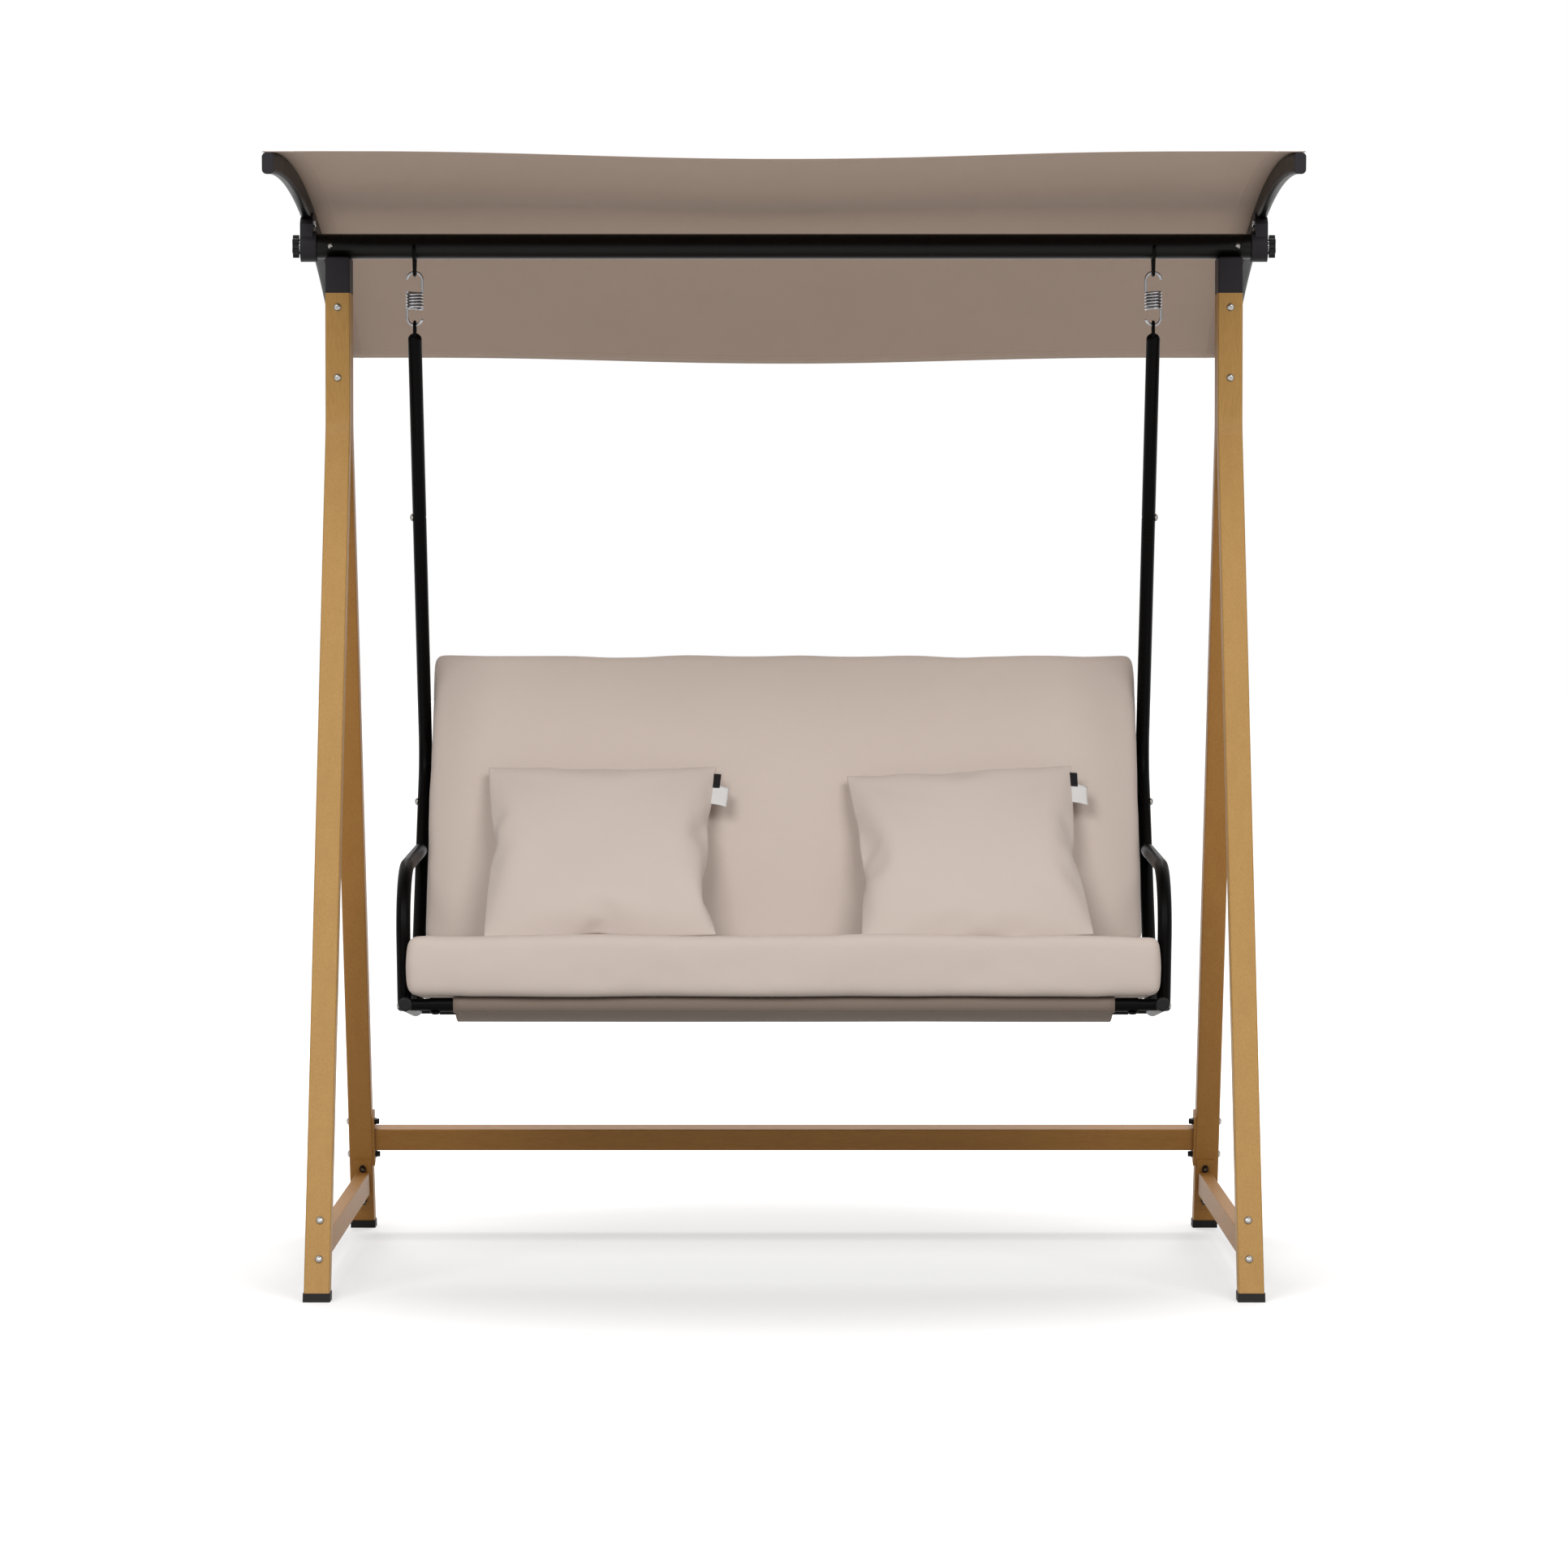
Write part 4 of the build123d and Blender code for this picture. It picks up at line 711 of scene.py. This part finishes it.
def filled_by_pressure(obj):
    """Mesh that the flat sheets of obj reach in a cloth simulation, with air pressed in."""
    cloth = obj.modifiers.new("fill", "CLOTH")
    settings = cloth.settings
    settings.quality = 6
    settings.mass = 0.25
    settings.tension_stiffness = settings.compression_stiffness = 25
    settings.shear_stiffness = 12
    settings.bending_stiffness = 1.2
    settings.air_damping = 4
    settings.use_pressure = True
    settings.uniform_pressure_force = 3.4
    settings.effector_weights.gravity = 0.0
    cloth.collision_settings.use_collision = False
    cloth.point_cache.frame_start, cloth.point_cache.frame_end = 1, FILL_STEPS
    for step in range(1, FILL_STEPS + 1):
        bpy.context.scene.frame_set(step)
    graph = bpy.context.evaluated_depsgraph_get()
    filled = bpy.data.meshes.new_from_object(obj.evaluated_get(graph))
    obj.modifiers.clear()
    bpy.context.scene.frame_set(1)
    return filled


def inflated(seed):
    """Mesh of a filled pillow, in its own flat frame."""
    obj = mesh_object("filled pillow", lambda bm: flat_pillow(bm, seed))
    filled = filled_by_pressure(obj)
    bpy.data.objects.remove(obj)
    eased(filled)
    return filled


def pillow(node, seed, turn, drop=0.0):
    """A pillow that leans on the back cushion, turned by some degrees; gives it and its own frame."""
    filled = inflated(seed)
    low = Vector(min(v.co[k] for v in filled.vertices) for k in range(3))
    high = Vector(max(v.co[k] for v in filled.vertices) for k in range(3))
    scale = [size / extent for size, extent in zip((PILLOW_SIZE, PILLOW_SIZE, PILLOW_THICK), high - low)]
    lie = leaning(middle(node) - Vector((0, 0, drop)), PILLOW_LEAN)
    lie = lie @ Matrix.Rotation(math.radians(turn), 4, "Z")
    into_back = posts.inverted()

    def rest(p):
        """Keeps a point above the seat cushion and in front of the back cushion."""
        floor = seat_top(p.y) + 0.003
        if p.z < floor:
            p = p + Vector((0, 0, floor - p.z))
        n = (into_back @ p).z
        limit = BACK_GAP + BACK_THICK + 0.011
        return p + out_back * (limit - n) if n < limit else p

    def make(bm):
        bm.from_mesh(filled)
        for v in bm.verts:
            v.co = rest(lie @ Vector(c * s for c, s in zip(v.co - (low + high) / 2, scale)))

    obj = add_piece(f"{node}_soft", make, "seat", node, PILLOW_CLOTH)
    subdivide(obj)
    return obj, lie


pillows = {"left": pillow("pillow_left", 1.3, 0.4), "right": pillow("pillow_right", 6.1, 3.6, drop=0.006)}


# ---------------------------------------------------------------- plain labels in the pillows' side seams
# up: its top corner, up the seam from the middle; along: its sewn side; out and droop: where its free end is
RIBBON = {"up": 0.193, "along": 0.034, "out": 0.017, "droop": 0.001}
LABEL = {"up": 0.162, "along": 0.044, "out": 0.034, "droop": 0.006}
LABEL_THICK = 0.0006
SEWN_IN = 0.008                 # how far inside the seam it starts


def seam_point(obj, lie, up):
    """Point of a pillow's right side seam, up from its middle."""
    local = lie.inverted()
    near = [local @ v.co for v in obj.data.vertices]
    near = [p for p in near if abs(p.y - up) < 0.006]
    return lie @ max(near, key=lambda p: p.x)


def label(name, obj, lie, up, along, out, droop, material):
    """A blank ribbon sewn into the seam: along it, and standing out of it."""
    top, low = seam_point(obj, lie, up), seam_point(obj, lie, up - along)

    def point(s, t):
        root = top.lerp(low, t) - Vector((SEWN_IN, 0, 0))
        bend = Vector((0, -0.004 * math.sin(math.pi * s * 0.8), -droop * s * s))
        return root + Vector((out * s, -0.002 - 0.003 * s, 0)) + bend

    def make(bm):
        cloth_grid(bm, even(10), even(8), out, along, point)

    made = add_piece(name, make, "seat", None, material)
    thicken(made, LABEL_THICK)


for side, (obj, lie) in pillows.items():
    label(f"pillow_{side}_ribbon", obj, lie, **RIBBON, material=RIBBON_BLACK)
    label(f"pillow_{side}_label", obj, lie, **LABEL, material=LABEL_WHITE)

# ---------------------------------------------------------------- camera
CAMERA_AWAY = 11.2194           # in front of the beam
CAMERA_HEIGHT = 1.3028
CAMERA_DOWN = 2.137             # degrees below level

scene = bpy.context.scene
camera_data = bpy.data.cameras.new("camera")
camera_data.lens = 139.75
camera_data.sensor_width = 36.0
camera_data.clip_end = 200.0
camera = bpy.data.objects.new("camera", camera_data)
camera.location = (0.0, beam.y - CAMERA_AWAY, CAMERA_HEIGHT)
camera.rotation_euler = (math.radians(90 - CAMERA_DOWN), 0.0, 0.0)
bpy.context.collection.objects.link(camera)
scene.camera = camera

# ---------------------------------------------------------------- floor and light
WHITE = (1.0, 1.0, 1.0, 1.0)
FLOOR_CORNERS = ((-30, -16), (30, -16), (30, 44), (-30, 44))
FLOOR_COLOUR = (0.55, 0.55, 0.55, 1.0)
FLOOR_GLOW = 0.375              # near the bench: the lower glow there paints the floor darker round the bench, a painted shadow added to its real cast shadow
GLOW_SPAN = (0.63, 2.0)         # distances over which the glow rises to 1
SKY = 0.38                      # light that the surroundings give, seen as 1

scene.view_settings.view_transform = "Standard"


def make_floor():
    def flat(bm):
        bm.faces.new([bm.verts.new((x, y, 0.0)) for x, y in FLOOR_CORNERS])

    floor = mesh_object("floor", flat)
    n = Look("pale floor")
    n.finish(Base_Color=FLOOR_COLOUR, Roughness=0.9, Specular_IOR_Level=0.0)
    # Painted shadow: the glow is weaker near the middle of the floor, so the floor is darker round the bench
    # besides its real shadow
    from_middle = n.node("ShaderNodeVectorMath", {0: n.place}, operation="LENGTH").outputs["Value"]
    near, far = GLOW_SPAN
    rising = {"Value": from_middle, "From Min": near, "From Max": far, "To Min": FLOOR_GLOW, "To Max": 1.0}
    painted_shadow_fade = n.node("ShaderNodeMapRange", rising, interpolation_type="SMOOTHSTEP").outputs[0]
    strength = n.math("MULTIPLY", n.seen(), painted_shadow_fade)
    glow = n.node("ShaderNodeEmission", {"Color": WHITE, "Strength": strength})
    both = n.node("ShaderNodeAddShader", {0: n.shader.outputs[0], 1: glow.outputs[0]})
    n.put(both.outputs[0], n.out.inputs["Surface"])
    floor.data.materials.append(n.material)


def make_sky():
    scene.world = bpy.data.worlds.new("studio")
    scene.world.use_nodes = True
    n = Tree(scene.world.node_tree)
    sky = n.node("ShaderNodeBackground", {"Color": WHITE, "Strength": n.ramp(n.seen(), SKY, 1.0)})
    n.node("ShaderNodeOutputWorld", {"Surface": sky.outputs[0]})


def area_light(name, place, aim_height, size, power):
    """A square lamp that looks at a height above the middle of the floor."""
    data = bpy.data.lights.new(name, "AREA")
    data.shape = "SQUARE"
    data.size = size
    data.energy = power
    light = bpy.data.objects.new(name, data)
    light.location = place
    look = Vector((0, 0, aim_height)) - Vector(place)
    light.rotation_euler = look.to_track_quat("-Z", "Y").to_euler()
    bpy.context.collection.objects.link(light)


make_floor()
make_sky()
area_light("key", (-2.6, -6.2, 5.0), 1.2, 3.4, 250)
area_light("fill", (2.8, -6.1, 4.8), 1.2, 3.4, 220)
area_light("top", (0.0, 3.0, 5.2), 0.5, 3.5, 240)
